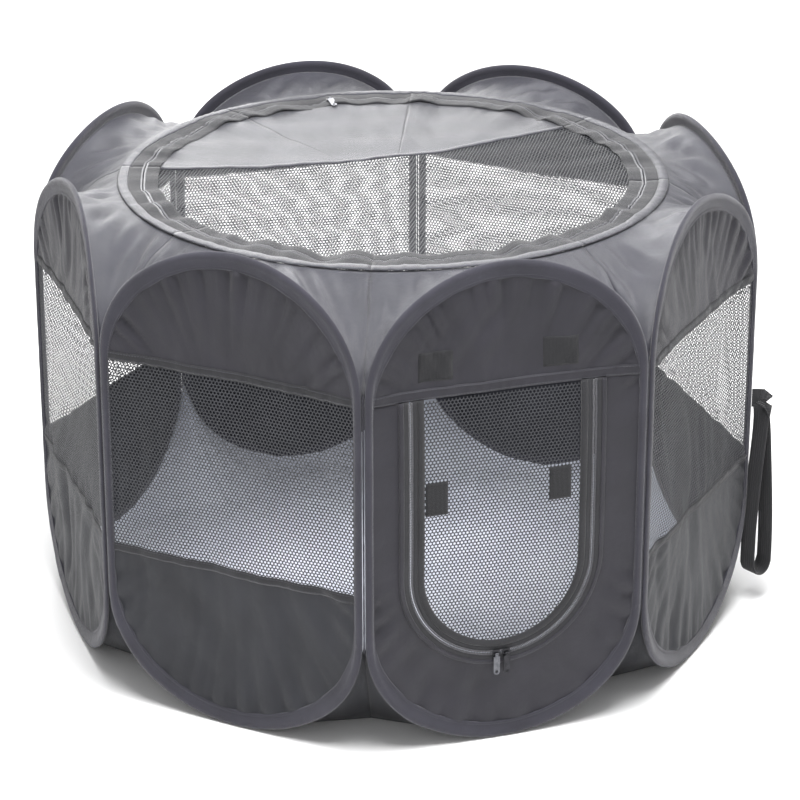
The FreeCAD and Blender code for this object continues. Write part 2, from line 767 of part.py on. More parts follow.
def place_point(sketch, geometry, point, axis, name, formula):
    """Dimension from the origin to a point, whichever side of it the point is on."""
    value = evaluate(formula)
    kind = "DistanceX" if axis == "x" else "DistanceY"
    if value >= 0:
        dimension(sketch, kind, *ORIGIN_POINT, geometry, point, value, name=name, formula=formula)
    else:
        dimension(sketch, kind, geometry, point, *ORIGIN_POINT, -value,
                  name=name, formula="-(%s)" % formula)


def add_rectangle(sketch, tag, left, right, low, high):
    """Rectangle whose four sides are formulas."""
    x0, x1, z0, z1 = (evaluate(formula) for formula in (left, right, low, high))
    first = sketch.GeometryCount
    sketch.addGeometry([
        line((x0, z0), (x1, z0)),
        line((x1, z0), (x1, z1)),
        line((x1, z1), (x0, z1)),
        line((x0, z1), (x0, z0)),
    ])
    for step in range(4):
        relate(sketch, "Coincident", first + step, END, first + (step + 1) % 4, START)
    for step, kind in enumerate(("Horizontal", "Vertical", "Horizontal", "Vertical")):
        relate(sketch, kind, first + step)
    place_point(sketch, first, START, "x", tag + "_left", left)
    place_point(sketch, first, START, "y", tag + "_low", low)
    place_point(sketch, first + 2, START, "x", tag + "_right", right)
    place_point(sketch, first + 2, START, "y", tag + "_high", high)


def pad(body, sketch, name, length_formula, midplane=False):
    feature = body.newObject("PartDesign::Pad", name)
    feature.Profile = sketch
    if midplane:
        feature.SideType = "Symmetric"
    feature.setExpression("Length", length_formula)
    sketch.Visibility = False
    return feature


def padded_rectangle(body, name, left, right, low, high, depth, length):
    sketch = body_sketch(body, name + "_sketch", "XZ_Plane", depth)
    add_rectangle(sketch, name, left, right, low, high)
    return pad(body, sketch, name, length)


def make_slider(name):
    body = doc.addObject("PartDesign::Body", name)
    half_long = "sizes.slider_length / 2"
    half_wide = "sizes.slider_width / 2"
    half_blade = "sizes.blade_thickness / 2"
    front = padded_rectangle(body, name + "_front_plate", "-" + half_long, half_long,
                             "-" + half_wide, half_wide,
                             "sizes.front_plate_depth", "sizes.plate_thickness")
    doc.recompute()
    corners = body.newObject("PartDesign::Fillet", name + "_corners")
    upright = []
    for number, edge in enumerate(front.Shape.Edges, start=1):
        span = edge.Vertexes[0].Point - edge.Vertexes[1].Point
        if abs(span.y) > abs(span.x) + abs(span.z):
            upright.append("Edge%d" % number)
    corners.Base = (front, upright)
    corners.setExpression("Radius", "sizes.plate_thickness")
    padded_rectangle(body, name + "_blade", "-sizes.blade_length / 2", "sizes.blade_length / 2",
                     "-" + half_blade, half_blade, "sizes.back_plate_depth",
                     "sizes.front_plate_depth - sizes.back_plate_depth + sizes.plate_thickness / 2")
    padded_rectangle(body, name + "_back_plate", "-" + half_long, half_long,
                     "-" + half_blade, half_wide, "sizes.back_plate_depth", "sizes.plate_thickness")
    legs = body_sketch(body, name + "_legs_sketch", "XZ_Plane",
                       "sizes.front_plate_depth + sizes.plate_thickness / 2")
    leg_reach = "(sizes.bail_span / 2 + sizes.bail_leg)"
    for tag, left, right in (("left_leg", "-" + leg_reach, "-sizes.bail_span / 2"),
                             ("right_leg", "sizes.bail_span / 2", leg_reach)):
        add_rectangle(legs, tag, left, right, "-sizes.bail_leg_depth / 2",
                      "sizes.bail_leg_depth / 2")
    pad(body, legs, name + "_legs", "sizes.pin_depth + sizes.pin_diameter / 2"
        " - sizes.front_plate_depth - sizes.plate_thickness / 2")
    pin_sketch = body_sketch(body, name + "_pin_sketch", "YZ_Plane")
    pin_sketch.addGeometry(Part.Circle(Vector(-size("pin_depth"), 0, 0), Vector(0, 0, 1),
                                       size("pin_diameter") / 2))
    dimension(pin_sketch, "Radius", 0, size("pin_diameter") / 2,
              name="pin", formula="sizes.pin_diameter / 2")
    place_point(pin_sketch, 0, CENTRE, "x", "pin_place", "-sizes.pin_depth")
    relate(pin_sketch, "PointOnObject", 0, CENTRE, -1)
    body.Tip = pad(body, pin_sketch, name + "_pin", "sizes.bail_span + 2 * sizes.bail_leg", True)
    return body


def make_pull(name):
    body = doc.addObject("PartDesign::Body", name)
    barrel_sketch = body_sketch(body, name + "_barrel_sketch", "YZ_Plane")
    for tag, diameter in (("outer", "sizes.barrel_diameter"), ("bore", "sizes.barrel_bore")):
        circle = barrel_sketch.addGeometry(
            Part.Circle(Vector(-size("pin_depth"), 0, 0), Vector(0, 0, 1), evaluate(diameter) / 2))
        dimension(barrel_sketch, "Radius", circle, evaluate(diameter) / 2,
                  name=tag, formula=diameter + " / 2")
        place_point(barrel_sketch, circle, CENTRE, "x", tag + "_place", "-sizes.pin_depth")
        relate(barrel_sketch, "PointOnObject", circle, CENTRE, -1)
    pad(body, barrel_sketch, name + "_barrel",
        "sizes.bail_span - 2 * sizes.slider_clearance", True)
    face_depth = "sizes.pin_depth - sizes.pull_thickness / 2"
    neck = "(sizes.bail_span / 2 - sizes.slider_clearance)"
    padded_rectangle(body, name + "_neck", "-" + neck, neck,
                     "-sizes.barrel_diameter", "-(sizes.barrel_bore + sizes.barrel_wall) / 2",
                     face_depth, "sizes.pull_thickness")
    tab = body_sketch(body, name + "_tab_sketch", "XZ_Plane", face_depth)
    half = size("pull_width") / 2
    high = -size("barrel_diameter") + size("barrel_wall") / 2
    low = -size("pull_length") + half
    tab.addGeometry([
        line((half, high), (-half, high)),
        line((-half, high), (-half, low)),
        arc((0, low), half, 180, 360),
        line((half, low), (half, high)),
    ])
    tab.addGeometry(Part.Circle(Vector(0, low, 0), Vector(0, 0, 1), size("pull_hole") / 2))
    relate(tab, "Coincident", 0, END, 1, START)
    relate(tab, "Tangent", 1, END, 2, START)
    relate(tab, "Tangent", 2, END, 3, START)
    relate(tab, "Coincident", 3, END, 0, START)
    relate(tab, "Horizontal", 0)
    relate(tab, "Vertical", 1)
    relate(tab, "Vertical", 3)
    relate(tab, "Coincident", 2, CENTRE, 4, CENTRE)
    relate(tab, "PointOnObject", 2, CENTRE, UPRIGHT_AXIS)
    dimension(tab, "Radius", 2, half, name="end_round", formula="sizes.pull_width / 2")
    dimension(tab, "Radius", 4, size("pull_hole") / 2, name="hole", formula="sizes.pull_hole / 2")
    place_point(tab, 2, CENTRE, "y", "end_place", "-sizes.pull_length + sizes.pull_width / 2")
    place_point(tab, 0, START, "y", "shoulder_place",
                "-sizes.barrel_diameter + sizes.barrel_wall / 2")
    body.Tip = pad(body, tab, name + "_tab", "sizes.pull_thickness")
    return body


slider = make_slider("zip_slider")
pull = make_pull("zip_pull")

# ---------------------------------------------------------------- carry loop
# Drawn on the XZ plane with its hanging end down and its top at z = 0.


def loop_outline(radius):
    """Teardrop: two straight legs from an apex down to a round bend; all outlines share
    the bend's centre and the legs' slope."""
    outer_radius = size("loop_bend_radius") + size("loop_thickness")
    outer_length = size("loop_drop") - outer_radius
    bend = Vector(0, 0, -outer_length)
    slope = math.asin(outer_radius / outer_length)
    apex = bend + Vector(0, 0, radius / math.sin(slope))
    right = bend + Vector(radius * math.cos(slope), 0, radius * math.sin(slope))
    left = Vector(-right.x, 0, right.z)
    lowest = bend - Vector(0, 0, radius)
    return Part.Wire([
        Part.LineSegment(apex, right).toShape(),
        Part.Arc(right, lowest, left).toShape(),
        Part.LineSegment(left, apex).toShape(),
    ])


half_loop = size("loop_width") / 2
bend_radius = size("loop_bend_radius")
outer_loop = Part.Face(loop_outline(bend_radius + size("loop_thickness")))
inner_loop = Part.Face(loop_outline(bend_radius))
loop_shape = outer_loop.cut(inner_loop).extrude(Vector(0, size("loop_width"), 0))
loop_shape.translate(Vector(0, -half_loop, 0))
# The webbing twists once below the seam, so the drawn loop is turned about its own axis.
loop_shape.rotate(Vector(), Vector(0, 0, 1), size("loop_twist"))
corner_radius = size("corner_reach") + size("binding_thickness") * math.cos(HALF_TURN)
tab_start = -size("loop_stand_off") + size("loop_clearance")
tab_shape = Part.makeBox(-tab_start, size("loop_thickness"), size("loop_tab_height"),
                         Vector(tab_start, -size("loop_thickness") / 2, -size("loop_tab_height")))
carry_loop = add("Part::Feature", "carry_loop_shape", Shape=loop_shape.fuse(tab_shape))

# ---------------------------------------------------------------- the whole pen
doc.recompute()
PANEL_NAMES = ["front", "front_right", "right", "back_right", "back", "back_left", "left",
               "front_left"]
nodes = []


def panel_place(number):
    """From the drawn panel to its place in the ring."""
    turned = Placement(Vector(), Rotation(Vector(0, 0, 1), TURN * number))
    return turned.multiply(Placement(Vector(0, -size("apothem"), 0), Rotation()))


def node(label, source, place):
    """A named sub-part: one drawn piece, put in its place."""
    item = add("Part::Compound", "node_" + label, Links=[source])
    item.Label = label
    item.Placement = place
    nodes.append(item)


def zip_place(angle):
    """Place of a slider on the door's chain, its angle counted from the lowest point."""
    low = size("door_arc_height")
    centre = Vector(-size("door_shift"), 0, low)
    turned = Placement(centre, Rotation(Vector(0, -1, 0), angle))
    return turned.multiply(Placement(Vector(0, 0, -size("door_radius")), Rotation()))


for number, panel in enumerate(PANEL_NAMES):
    place = panel_place(number)
    node("hoop_" + panel, hoop, place)
    node("binding_" + panel, binding, place)
    node("roof_" + panel, roof, place)
    node("floor_" + panel, floor if number else front_floor, place)
    if number > 0:
        node("cloth_" + panel, cloth, place)
        node("mesh_" + panel, mesh, place)

front = panel_place(0)
node("cloth_front_upper", front_cloth, front)
node("door_surround", surround, front)
node("door_frame_zip", frame_zip, front)
node("panel_patches", panel_patches, front)
node("door_mesh", door_mesh, front)
node("door_zip", door_zip, front)
node("door_patches", door_patches, front)
for side, sign in (("left", -1), ("right", 1)):
    slider_place = front.multiply(zip_place(sign * size("slider_angle")))
    node("door_slider_" + side, slider, slider_place)
    upright = Placement(slider_place.Base, Rotation())
    node("door_pull_" + side, pull, upright)

# The roof's slider lies flat on the zip of the back panel.  Its pull points inwards and
# droops a little, clear of the cover.
ring_turn = Placement(Vector(), Rotation(Vector(0, 0, 1), TURN * 4 - size("roof_slider_turn")))
flat_place = Placement(
    Vector(0, -size("chain_radius"),
           size("ring_height") - size("cloth_depth") - size("cloth_thickness") / 2),
    Rotation(Vector(0, 1, -1), 180),
)
node("roof_slider", slider, ring_turn.multiply(flat_place))
pin_point = Vector(0, -size("pin_depth"), 0)
droop = Placement(Vector(), Rotation(Vector(1, 0, 0), size("roof_pull_droop")), pin_point)
node("roof_pull", pull, ring_turn.multiply(flat_place).multiply(droop))

# The carry loop hangs outside the seam between the front right and right panels.
loop_radius = corner_radius + size("loop_stand_off")
seam_turn = Placement(Vector(), Rotation(Vector(0, 0, 1), -TURN / 2))
node("carry_loop", carry_loop,
     seam_turn.multiply(Placement(Vector(loop_radius, 0, size("loop_top")), Rotation())))

doc.recompute()
failed = [item.Name for item in doc.Objects if "Invalid" in item.State or "Error" in item.State]
for item in nodes:
    if item.Shape.isNull() or not item.Shape.isValid() or item.Shape.Volume <= 0:
        failed.append(item.Label)
if failed:
    raise RuntimeError("not written, failed: " + ", ".join(failed))

os.makedirs("parts", exist_ok=True)
for item in nodes:
    item.Shape.exportStep(os.path.join("parts", item.Label + ".step"))
print("%d sub-parts written" % len(nodes))
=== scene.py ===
import math

import bpy
import numpy as np
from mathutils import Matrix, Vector


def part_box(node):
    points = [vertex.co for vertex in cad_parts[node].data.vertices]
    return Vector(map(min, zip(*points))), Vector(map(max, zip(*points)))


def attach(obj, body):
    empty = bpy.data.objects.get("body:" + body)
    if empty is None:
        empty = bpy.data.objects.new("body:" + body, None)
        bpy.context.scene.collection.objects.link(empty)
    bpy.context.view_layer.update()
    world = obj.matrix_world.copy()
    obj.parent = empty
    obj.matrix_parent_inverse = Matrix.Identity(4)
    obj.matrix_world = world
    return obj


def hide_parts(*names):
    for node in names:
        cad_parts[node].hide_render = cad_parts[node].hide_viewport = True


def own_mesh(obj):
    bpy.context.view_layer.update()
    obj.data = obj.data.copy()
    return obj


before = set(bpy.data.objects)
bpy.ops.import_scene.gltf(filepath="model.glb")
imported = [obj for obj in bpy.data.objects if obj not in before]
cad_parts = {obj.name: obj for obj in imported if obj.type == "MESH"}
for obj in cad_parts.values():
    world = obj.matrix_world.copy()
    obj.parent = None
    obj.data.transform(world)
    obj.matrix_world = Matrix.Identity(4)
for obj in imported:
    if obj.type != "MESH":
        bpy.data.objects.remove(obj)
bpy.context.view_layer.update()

# ------------------------------------------------------------------ sizes, in metres
# A panel is worked out in its own flat frame: x along the panel, y = 0 on its inner face and
# minus y outwards, z up.  placed() turns it to its side of the ring.
NAMES = ["front", "front_right", "right", "back_right", "back", "back_left", "left",
         "front_left"]
TURN = math.radians(45)
HALF_TURN = TURN / 2
sleeve_low, sleeve_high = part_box("binding_front")
APOTHEM = -sleeve_high.y
HALF_WIDTH = sleeve_high.x
HEIGHT = sleeve_high.z
CORNER = APOTHEM / math.cos(HALF_TURN)
CROWN = HALF_WIDTH + 0.025
SHOULDER = HALF_WIDTH - 0.035
SHOULDER_X = HALF_WIDTH - SHOULDER
ARCH = CROWN - math.sqrt((CROWN - SHOULDER) ** 2 - SHOULDER_X ** 2)
MEET = math.atan2(CROWN - ARCH, SHOULDER_X)
SLEEVE = 0.021
SIDE_BAND = 0.0105
TUCK = 0.0042
MID_DEPTH = 0.0035
BOW = 0.015
mesh_low, mesh_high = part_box("mesh_back")
MESH_BOTTOM, MESH_TOP = mesh_low.z, mesh_high.z
RING_HEIGHT = 0.580
RING_OUTER = APOTHEM - 0.0777
RING_INNER = RING_OUTER - 0.030
DOOR_X = -0.005
DOOR_RADIUS = 0.114
DOOR_LOW = 0.228
ZIP_TAPE = 0.010
SLOT_RADIUS = DOOR_RADIUS + ZIP_TAPE
ZIP_HALF_GAP = 0.0006
COIL_PITCH = 0.0021
WIRE_INSET, WIRE_RADIUS, WIRE_SIDES = 0.006, 0.0015, 8
PINCH_START = 0.0086
STITCH_INSET, STITCH_PITCH, STITCH_HALF = 0.0174, 0.0036, 0.0012
LAP_LENGTH, LAP_SLOPE = 0.034, 0.003
CLOTH_MARGIN = 0.0165
CLOTH_LIFT = 0.0004
CLOTH_THICKNESS = 0.0008
TRIM_THICKNESS = 0.0006
TAPE_TUCK = 0.003
WELT_SHIFT, WELT_DEPTH, WELT_RADIUS = 0.0010, 0.0012, 0.0011
WELT_ROWS, WELT_SIDES = 60, 8
NET_PITCH, NET_STRAND = 0.0046, 0.00145


def stacked(*parts):
    """Points from arrays of coordinates that fit each other's shape."""
    return np.stack(np.broadcast_arrays(*parts), -1)


def lengths_along(points):
    """Distance of each point from the first, along the line through them."""
    gaps = np.linalg.norm(np.diff(points, axis=0), axis=1)
    return np.concatenate([[0], np.cumsum(gaps)])


def smooth(value, low=0.0, high=1.0):
    """Smooth step from 0 at low to 1 at high."""
    share = np.clip((np.asarray(value, float) - low) / (high - low), 0, 1)
    return share * share * (3 - 2 * share)


def ripple(u, v, seed, waves=6, low=0.6, high=1.7):
    """Sum of waves in fixed random directions, about -1 to 1; u and v in wavelengths."""
    rng = np.random.default_rng(seed)
    total = np.zeros(np.broadcast(u, v).shape)
    for _ in range(waves):
        angle = rng.uniform(0, 2 * math.pi)
        rate = 2 * math.pi * rng.uniform(low, high)
        total += np.sin(rate * (math.cos(angle) * u + math.sin(angle) * v) + rng.uniform(0, 6.3))
    return total / math.sqrt(2 * waves)


def folds(u, seed, waves=5):
    """Row of soft folds along u, in wavelengths: rounded hills with sharper valleys."""
    rng = np.random.default_rng(seed)
    total = np.zeros(np.shape(u))
    for _ in range(waves):
        rate = math.pi * rng.uniform(0.6, 1.6)
        total += np.abs(np.sin(rate * u + rng.uniform(0, 6.3))) - 0.64
    return total / waves * 2.2


def bow(x, z):
    """How far the spring hoop's top leans in over the pen."""
    rise = np.clip((z - 0.30) / (HEIGHT - 0.30), 0, 1)
    return BOW * rise ** 2 * (1 - np.clip(np.abs(x) / HALF_WIDTH, 0, 1) ** 2)


def edge_distance(x, z):
    """Distance in from the hoop's outer outline."""
    across = np.abs(x)
    above = np.where(z > HEIGHT / 2, z - (HEIGHT - ARCH), ARCH - z)
    drop = CROWN - ARCH
    on_crown = np.arctan2(across, above + drop) < math.pi / 2 - MEET
    crown = CROWN - np.hypot(across, above + drop)
    shoulder = SHOULDER - np.hypot(across - SHOULDER_X, above)
    return np.where(above <= 0, HALF_WIDTH - across, np.where(on_crown, crown, shoulder))


def band_width(z):
    """Seen width of the sleeve: pinched upright where two hoops lie side by side, and flat
    at the hoop's rounded ends."""
    from_middle = np.abs(np.asarray(z, float) - HEIGHT / 2)
    return SIDE_BAND + (SLEEVE - SIDE_BAND) * smooth(from_middle, HEIGHT / 2 - ARCH - 0.03,
                                                     HEIGHT / 2 - 0.05)


def door_distance(x, z):
    """Signed distance from the door's zip, positive outside the door."""
    below = np.minimum(z - DOOR_LOW, 0)
    return np.hypot(x - DOOR_X, below) - DOOR_RADIUS


PLEAT_UPPER, PLEAT_LOWER = 0.0062, 0.0066
SLACK, CRUMPLE = 0.0024, 0.0009
FOLD_UPPER, FOLD_LOWER, HEM_PUCKER = 0.0022, 0.0036, 0.0011
BILLOW_UPPER, BILLOW_LOWER = 0.003, 0.002


def surface(number, x, z):
    """Depth y of the panel's cloth or mesh: taut, with pleats that fan in from the hoop."""
    inside = np.clip(edge_distance(x, z) - band_width(z) + TUCK, 0, None)
    hold = smooth(inside, 0, 0.05)
    near = np.exp(-inside / 0.045) * smooth(inside, 0, 0.010)
    upper = smooth(z, MESH_TOP - 0.05, MESH_TOP + 0.03)
    lower = 1 - smooth(z, MESH_BOTTOM - 0.03, MESH_BOTTOM + 0.05)
    top_fan = np.arctan2(x, z - (HEIGHT - CROWN) + 0.05) * 7.5
    low_fan = np.arctan2(x, CROWN - z + 0.08) * 5.0
    pleats = upper * near * folds(top_fan, 11 + number) * PLEAT_UPPER
    pleats += lower * near * folds(low_fan, 31 + number) * PLEAT_LOWER
    soft = hold * ripple(x / 0.16, z / 0.26, 51 + number) * SLACK
    soft += hold * (upper + lower) * ripple(x / 0.05, z / 0.08, 141 + number) * CRUMPLE
    long_folds = folds(x / 0.055 + ripple(x / 0.3, z / 0.3, 91 + number) * 0.8, 71 + number)
    soft += hold * long_folds * (lower * FOLD_LOWER + upper * FOLD_UPPER)
    above_hem = np.clip(z - MESH_TOP, 0, None)
    puckers = folds(x / 0.017 + ripple(x / 0.08, z / 0.2, 121 + number), 111 + number)
    soft += upper * hold * puckers * np.exp(-above_hem / 0.022) * HEM_PUCKER
    y = -MID_DEPTH + bow(x, z) + hold * (BILLOW_UPPER * upper + BILLOW_LOWER * lower)
    change = pleats + soft
    if number == 0:
        away = np.abs(door_distance(x, z))
        calm = smooth(away, 0.004, 0.05) * np.where(door_distance(x, z) < 0, 0.35, 1.0)
        above_door = smooth(z, MESH_TOP - 0.002, MESH_TOP + 0.022)
        change = change * (calm + (1 - calm) * above_door)
    return y - change


def placed(points, number):
    """From a panel's own frame to its place in the ring."""
    points = np.asarray(points, float)
    angle = TURN * number
    x, y, z = points[..., 0], points[..., 1] - APOTHEM, points[..., 2]
    return np.stack([x * math.cos(angle) - y * math.sin(angle),
                     x * math.sin(angle) + y * math.cos(angle), z], -1)


def hoop_outline(step):
    """Rows of x, z, outward normal and length along the hoop, counter-clockwise from the
    bottom of its right side."""
    rows = []

    def arc(centre_x, centre_z, radius, start, end):
        count = max(2, round(radius * (end - start) / step))
        for share in np.arange(count) / count:
            angle = start + (end - start) * share
            normal = (math.cos(angle), math.sin(angle))
            rows.append((centre_x + radius * normal[0], centre_z + radius * normal[1], *normal))

    def side(x, start, end):
        count = max(2, round(abs(end - start) / step))
        for share in np.arange(count) / count:
            rows.append((x, start + (end - start) * share, math.copysign(1, x), 0.0))

    side(HALF_WIDTH, ARCH, HEIGHT - ARCH)
    arc(SHOULDER_X, HEIGHT - ARCH, SHOULDER, 0, MEET)
    arc(0, HEIGHT - CROWN, CROWN, MEET, math.pi - MEET)
    arc(-SHOULDER_X, HEIGHT - ARCH, SHOULDER, math.pi - MEET, math.pi)
    side(-HALF_WIDTH, HEIGHT - ARCH, ARCH)
    arc(-SHOULDER_X, ARCH, SHOULDER, math.pi, math.pi + MEET)
    arc(0, CROWN, CROWN, math.pi + MEET, 2 * math.pi - MEET)
    arc(SHOULDER_X, ARCH, SHOULDER, 2 * math.pi - MEET, 2 * math.pi)
    rows = np.array(rows)
    gaps = np.linalg.norm(np.diff(rows[:, :2], axis=0, append=rows[:1, :2]), axis=1)
    lengths = np.concatenate([[0], np.cumsum(gaps)[:-1]])
    return np.column_stack([rows, lengths]), gaps.sum()


# ------------------------------------------------------------------ materials

def srgb(red, green, blue):
    """Linear colour from screen values of 0 to 255."""
    values = []
    for part in (red, green, blue):
        part /= 255
        values.append(part / 12.92 if part <= 0.04045 else ((part + 0.055) / 1.055) ** 2.4)
    return (*values, 1.0)


class Shader:
    """Short way to lay down nodes of one material."""

    def __init__(self, name):
        self.material = bpy.data.materials.new(name)
        self.material.use_nodes = True
        self.tree = self.material.node_tree
        self.bsdf = self.tree.nodes["Principled BSDF"]

    def node(self, kind, inputs=None, **settings):
        made = self.tree.nodes.new(kind)
        for key, value in settings.items():
            setattr(made, key, value)
        for key, value in (inputs or {}).items():
            self.feed(made.inputs[key], value)
        return made

    def feed(self, socket, value):
        """Link another node's output to a socket, or set a plain value on it."""
        if isinstance(value, bpy.types.NodeSocket):
            self.tree.links.new(value, socket)
        else:
            socket.default_value = value

    def math(self, operation, first, second=0.0):
        return self.node("ShaderNodeMath", {0: first, 1: second}, operation=operation).outputs[0]

    def noise(self, scale, detail=3.0, roughness=0.55):
        place = self.node("ShaderNodeTexCoord").outputs["Object"]
        return self.node("ShaderNodeTexNoise", {"Scale": scale, "Detail": detail,
                                                "Roughness": roughness,
                                                "Vector": place}).outputs["Fac"]

    def ramp(self, value, stops):
        made = self.node("ShaderNodeValToRGB", {"Fac": value})
        slots = made.color_ramp.elements
        while len(slots) < len(stops):
            slots.new(0.5)
        for slot, (place, colour) in zip(slots, stops):
            slot.position = place
            slot.color = colour
        return made.outputs["Color"]

    def mix(self, share, first, second):
        colours = {0: share, 6: first, 7: second}
        return self.node("ShaderNodeMix", colours, data_type="RGBA").outputs[2]

    def ribs(self, axis, pitch):
        """Height of ribs along one thread of the cloth, in metres along its two threads."""
        place = self.node("ShaderNodeUVMap", uv_map="cloth").outputs[0]
        split = self.node("ShaderNodeSeparateXYZ", {0: place})
        wave = self.math("SINE", self.math("MULTIPLY", split.outputs[axis], math.pi / pitch))
        return self.math("ABSOLUTE", wave)

    def weave(self, pitch):
        """Height of a plain weave: threads over and under each other."""
        return self.math("MULTIPLY", self.ribs(0, pitch), self.ribs(1, pitch))

    def bump(self, height, distance, strength=1.0, normal=None):
        inputs = {"Height": height, "Distance": distance, "Strength": strength}
        if normal is not None:
            inputs["Normal"] = normal
        return self.node("ShaderNodeBump", inputs).outputs[0]

    def set(self, **values):
        for key, value in values.items():
            self.feed(self.bsdf.inputs[key.replace("_", " ")], value)
        return self.material


def cloth_material(name, dark, light, pitch=0.0006, rough=(0.62, 0.8), sheen=0.25, weave=0.00025,
                   sheen_rough=0.45, specular=0.35, mottled=14.0):
    """Woven cloth: two shades in broad mottling, fine threads, slight sheen."""
    shader = Shader(name)
    broad = shader.noise(mottled, 3.0)
    threads = shader.weave(pitch)
    slub = shader.noise(900.0, 2.0)
    dark, light = srgb(*dark), srgb(*light)
    tone = shader.ramp(broad, [(0.3, dark), (0.7, light)])
    tone = shader.mix(shader.math("MULTIPLY", threads, 0.30), tone, dark)
    tone = shader.mix(shader.math("MULTIPLY", slub, 0.25), tone, light)
    fine = shader.bump(threads, weave, 0.6)
    crumpled = shader.bump(shader.noise(38.0, 4.0, roughness=0.6), 0.0022, 0.5, fine)
    normal = shader.bump(slub, 0.0001, 0.5, crumpled)
    roughness = shader.node("ShaderNodeMapRange", {"Value": slub, "To Min": rough[0],
                                                   "To Max": rough[1]}).outputs[0]
    return shader.set(Base_Color=tone, Roughness=roughness, Normal=normal, Sheen_Weight=sheen,
                      Sheen_Roughness=sheen_rough, Specular_IOR_Level=specular)


OUTER = cloth_material("oxford_outside", (26, 25, 33), (38, 36, 46), rough=(0.46, 0.6),
                       sheen=0.16, specular=0.45)
LOWER = cloth_material("oxford_lower", (31, 32, 37), (43, 44, 50), rough=(0.5, 0.65),
                       sheen=0.15)
INNER = cloth_material("oxford_coated_inside", (34, 34, 40), (44, 44, 50),
                       rough=(0.5, 0.62), sheen=0.1, specular=0.3)
ROOF = cloth_material("roof_outside", (40, 40, 49), (55, 55, 65), rough=(0.30, 0.40),
                      sheen=0.25, specular=0.75)
# Cover cloth: the roof's charcoal cloth painted lighter, a painted highlight for the overhead light's
# grazing reflection on it.
COVER_PAINTED_HIGHLIGHT = cloth_material("cover_cloth", (52, 52, 58), (70, 70, 77), rough=(0.36, 0.46),
                       specular=0.6)
FLOOR = cloth_material("floor_inside", (192, 196, 210), (210, 214, 224),
                       rough=(0.45, 0.6), sheen=0.1, specular=0.45, mottled=7.0)
BINDING = cloth_material("binding", (42, 41, 50), (56, 55, 66), pitch=0.0009,
                         weave=0.0004, sheen=0.35)
TAPE = cloth_material("seam_tape", (34, 34, 37), (44, 44, 48), pitch=0.0010,
                      weave=0.0004)
ZIP_TAPE_CLOTH = cloth_material("zip_tape", (36, 36, 39), (48, 48, 52), pitch=0.0011,
                                weave=0.0004, sheen=0.3)
# Top of the cover's tape: the zip tape cloth painted lighter, a painted highlight for the grazing
# reflection of the lights; its underside keeps the plain zip tape colour.
RING_TAPE_PAINTED_HIGHLIGHT = cloth_material("ring_tape", (78, 79, 84), (98, 99, 105), pitch=0.0011,
                           weave=0.0004, rough=(0.4, 0.5), sheen=0.5, specular=0.6)
NET = cloth_material("knitted_mesh", (44, 45, 49), (58, 59, 64), pitch=0.0005,
                     rough=(0.42, 0.55), sheen=0.15, specular=0.35)


def speckled_material(name, scale, dark, light, rough, specular):
    """Two shades of one colour in fine specks."""
    shader = Shader(name)
    tone = shader.ramp(shader.noise(scale), [(0.3, srgb(*dark)), (0.7, srgb(*light))])
    return shader.set(Base_Color=tone, Roughness=rough, Specular_IOR_Level=specular)


RIB_PITCH, TWILL_PITCH = 0.0016, 0.0035


def patch_material():
    """Hook-and-loop tape: dense fuzz in faint rows."""
    shader = Shader("hook_and_loop")
    fuzz = shader.noise(1400.0, 4.0, roughness=0.7)
    rows = shader.ribs(0, RIB_PITCH)
    tone = shader.ramp(fuzz, [(0.3, srgb(14, 14, 17)), (0.75, srgb(38, 38, 43))])
    normal = shader.bump(fuzz, 0.0008, 1.0, shader.bump(rows, 0.0005, 0.8))
    return shader.set(Base_Color=tone, Roughness=0.85, Normal=normal, Sheen_Weight=0.12,
                      Sheen_Roughness=0.5)


def webbing_material():
    """Ribbed webbing: ribs across the strap and a fine twill, with painted shade in the grooves between
    the ribs.
    """
    shader = Shader("webbing")
    ribs = shader.ribs(0, RIB_PITCH)
    columns = shader.ribs(1, TWILL_PITCH)
    # Painted shade: the colour goes dark in the grooves between the ribs and light on their crests.
    tone = shader.mix(ribs, srgb(22, 22, 24), srgb(46, 46, 49))
    normal = shader.bump(ribs, 0.0006, 1.0, shader.bump(columns, 0.0005, 0.6))
    return shader.set(Base_Color=tone, Roughness=0.6, Normal=normal, Sheen_Weight=0.2,
                      Specular_IOR_Level=0.4)


def metal_material(name, dark, light, rough):
    """Lacquered die casting: small scuffs and orange peel."""
    shader = Shader(name)
    scuffs = shader.noise(350.0, 5.0, roughness=0.7)
    tone = shader.ramp(scuffs, [(0.35, dark), (0.72, light)])
    roughness = shader.node("ShaderNodeMapRange", {"Value": scuffs, "To Min": rough - 0.08,
                                                   "To Max": rough + 0.15}).outputs[0]
    return shader.set(Base_Color=tone, Roughness=roughness, Metallic=0.75,
                      Normal=shader.bump(shader.noise(1500.0), 0.00006, 0.5))


THREAD = speckled_material("sewing_thread", 2500.0, (40, 40, 45), (84, 84, 92), 0.45, 0.5)
HOOK_LOOP = patch_material()
WEBBING = webbing_material()
COIL_NYLON = speckled_material("nylon_coil", 600.0, (58, 58, 62), (92, 92, 97), 0.28, 0.7)
BLACK_METAL = metal_material("black_lacquer", srgb(34, 34, 37), srgb(66, 66, 70), 0.30)
GREY_METAL = metal_material("grey_lacquer", srgb(78, 79, 84), srgb(118, 119, 124), 0.28)
STEEL = metal_material("spring_steel", srgb(120, 122, 126), srgb(168, 170, 174), 0.32)

# ------------------------------------------------------------------ building pieces


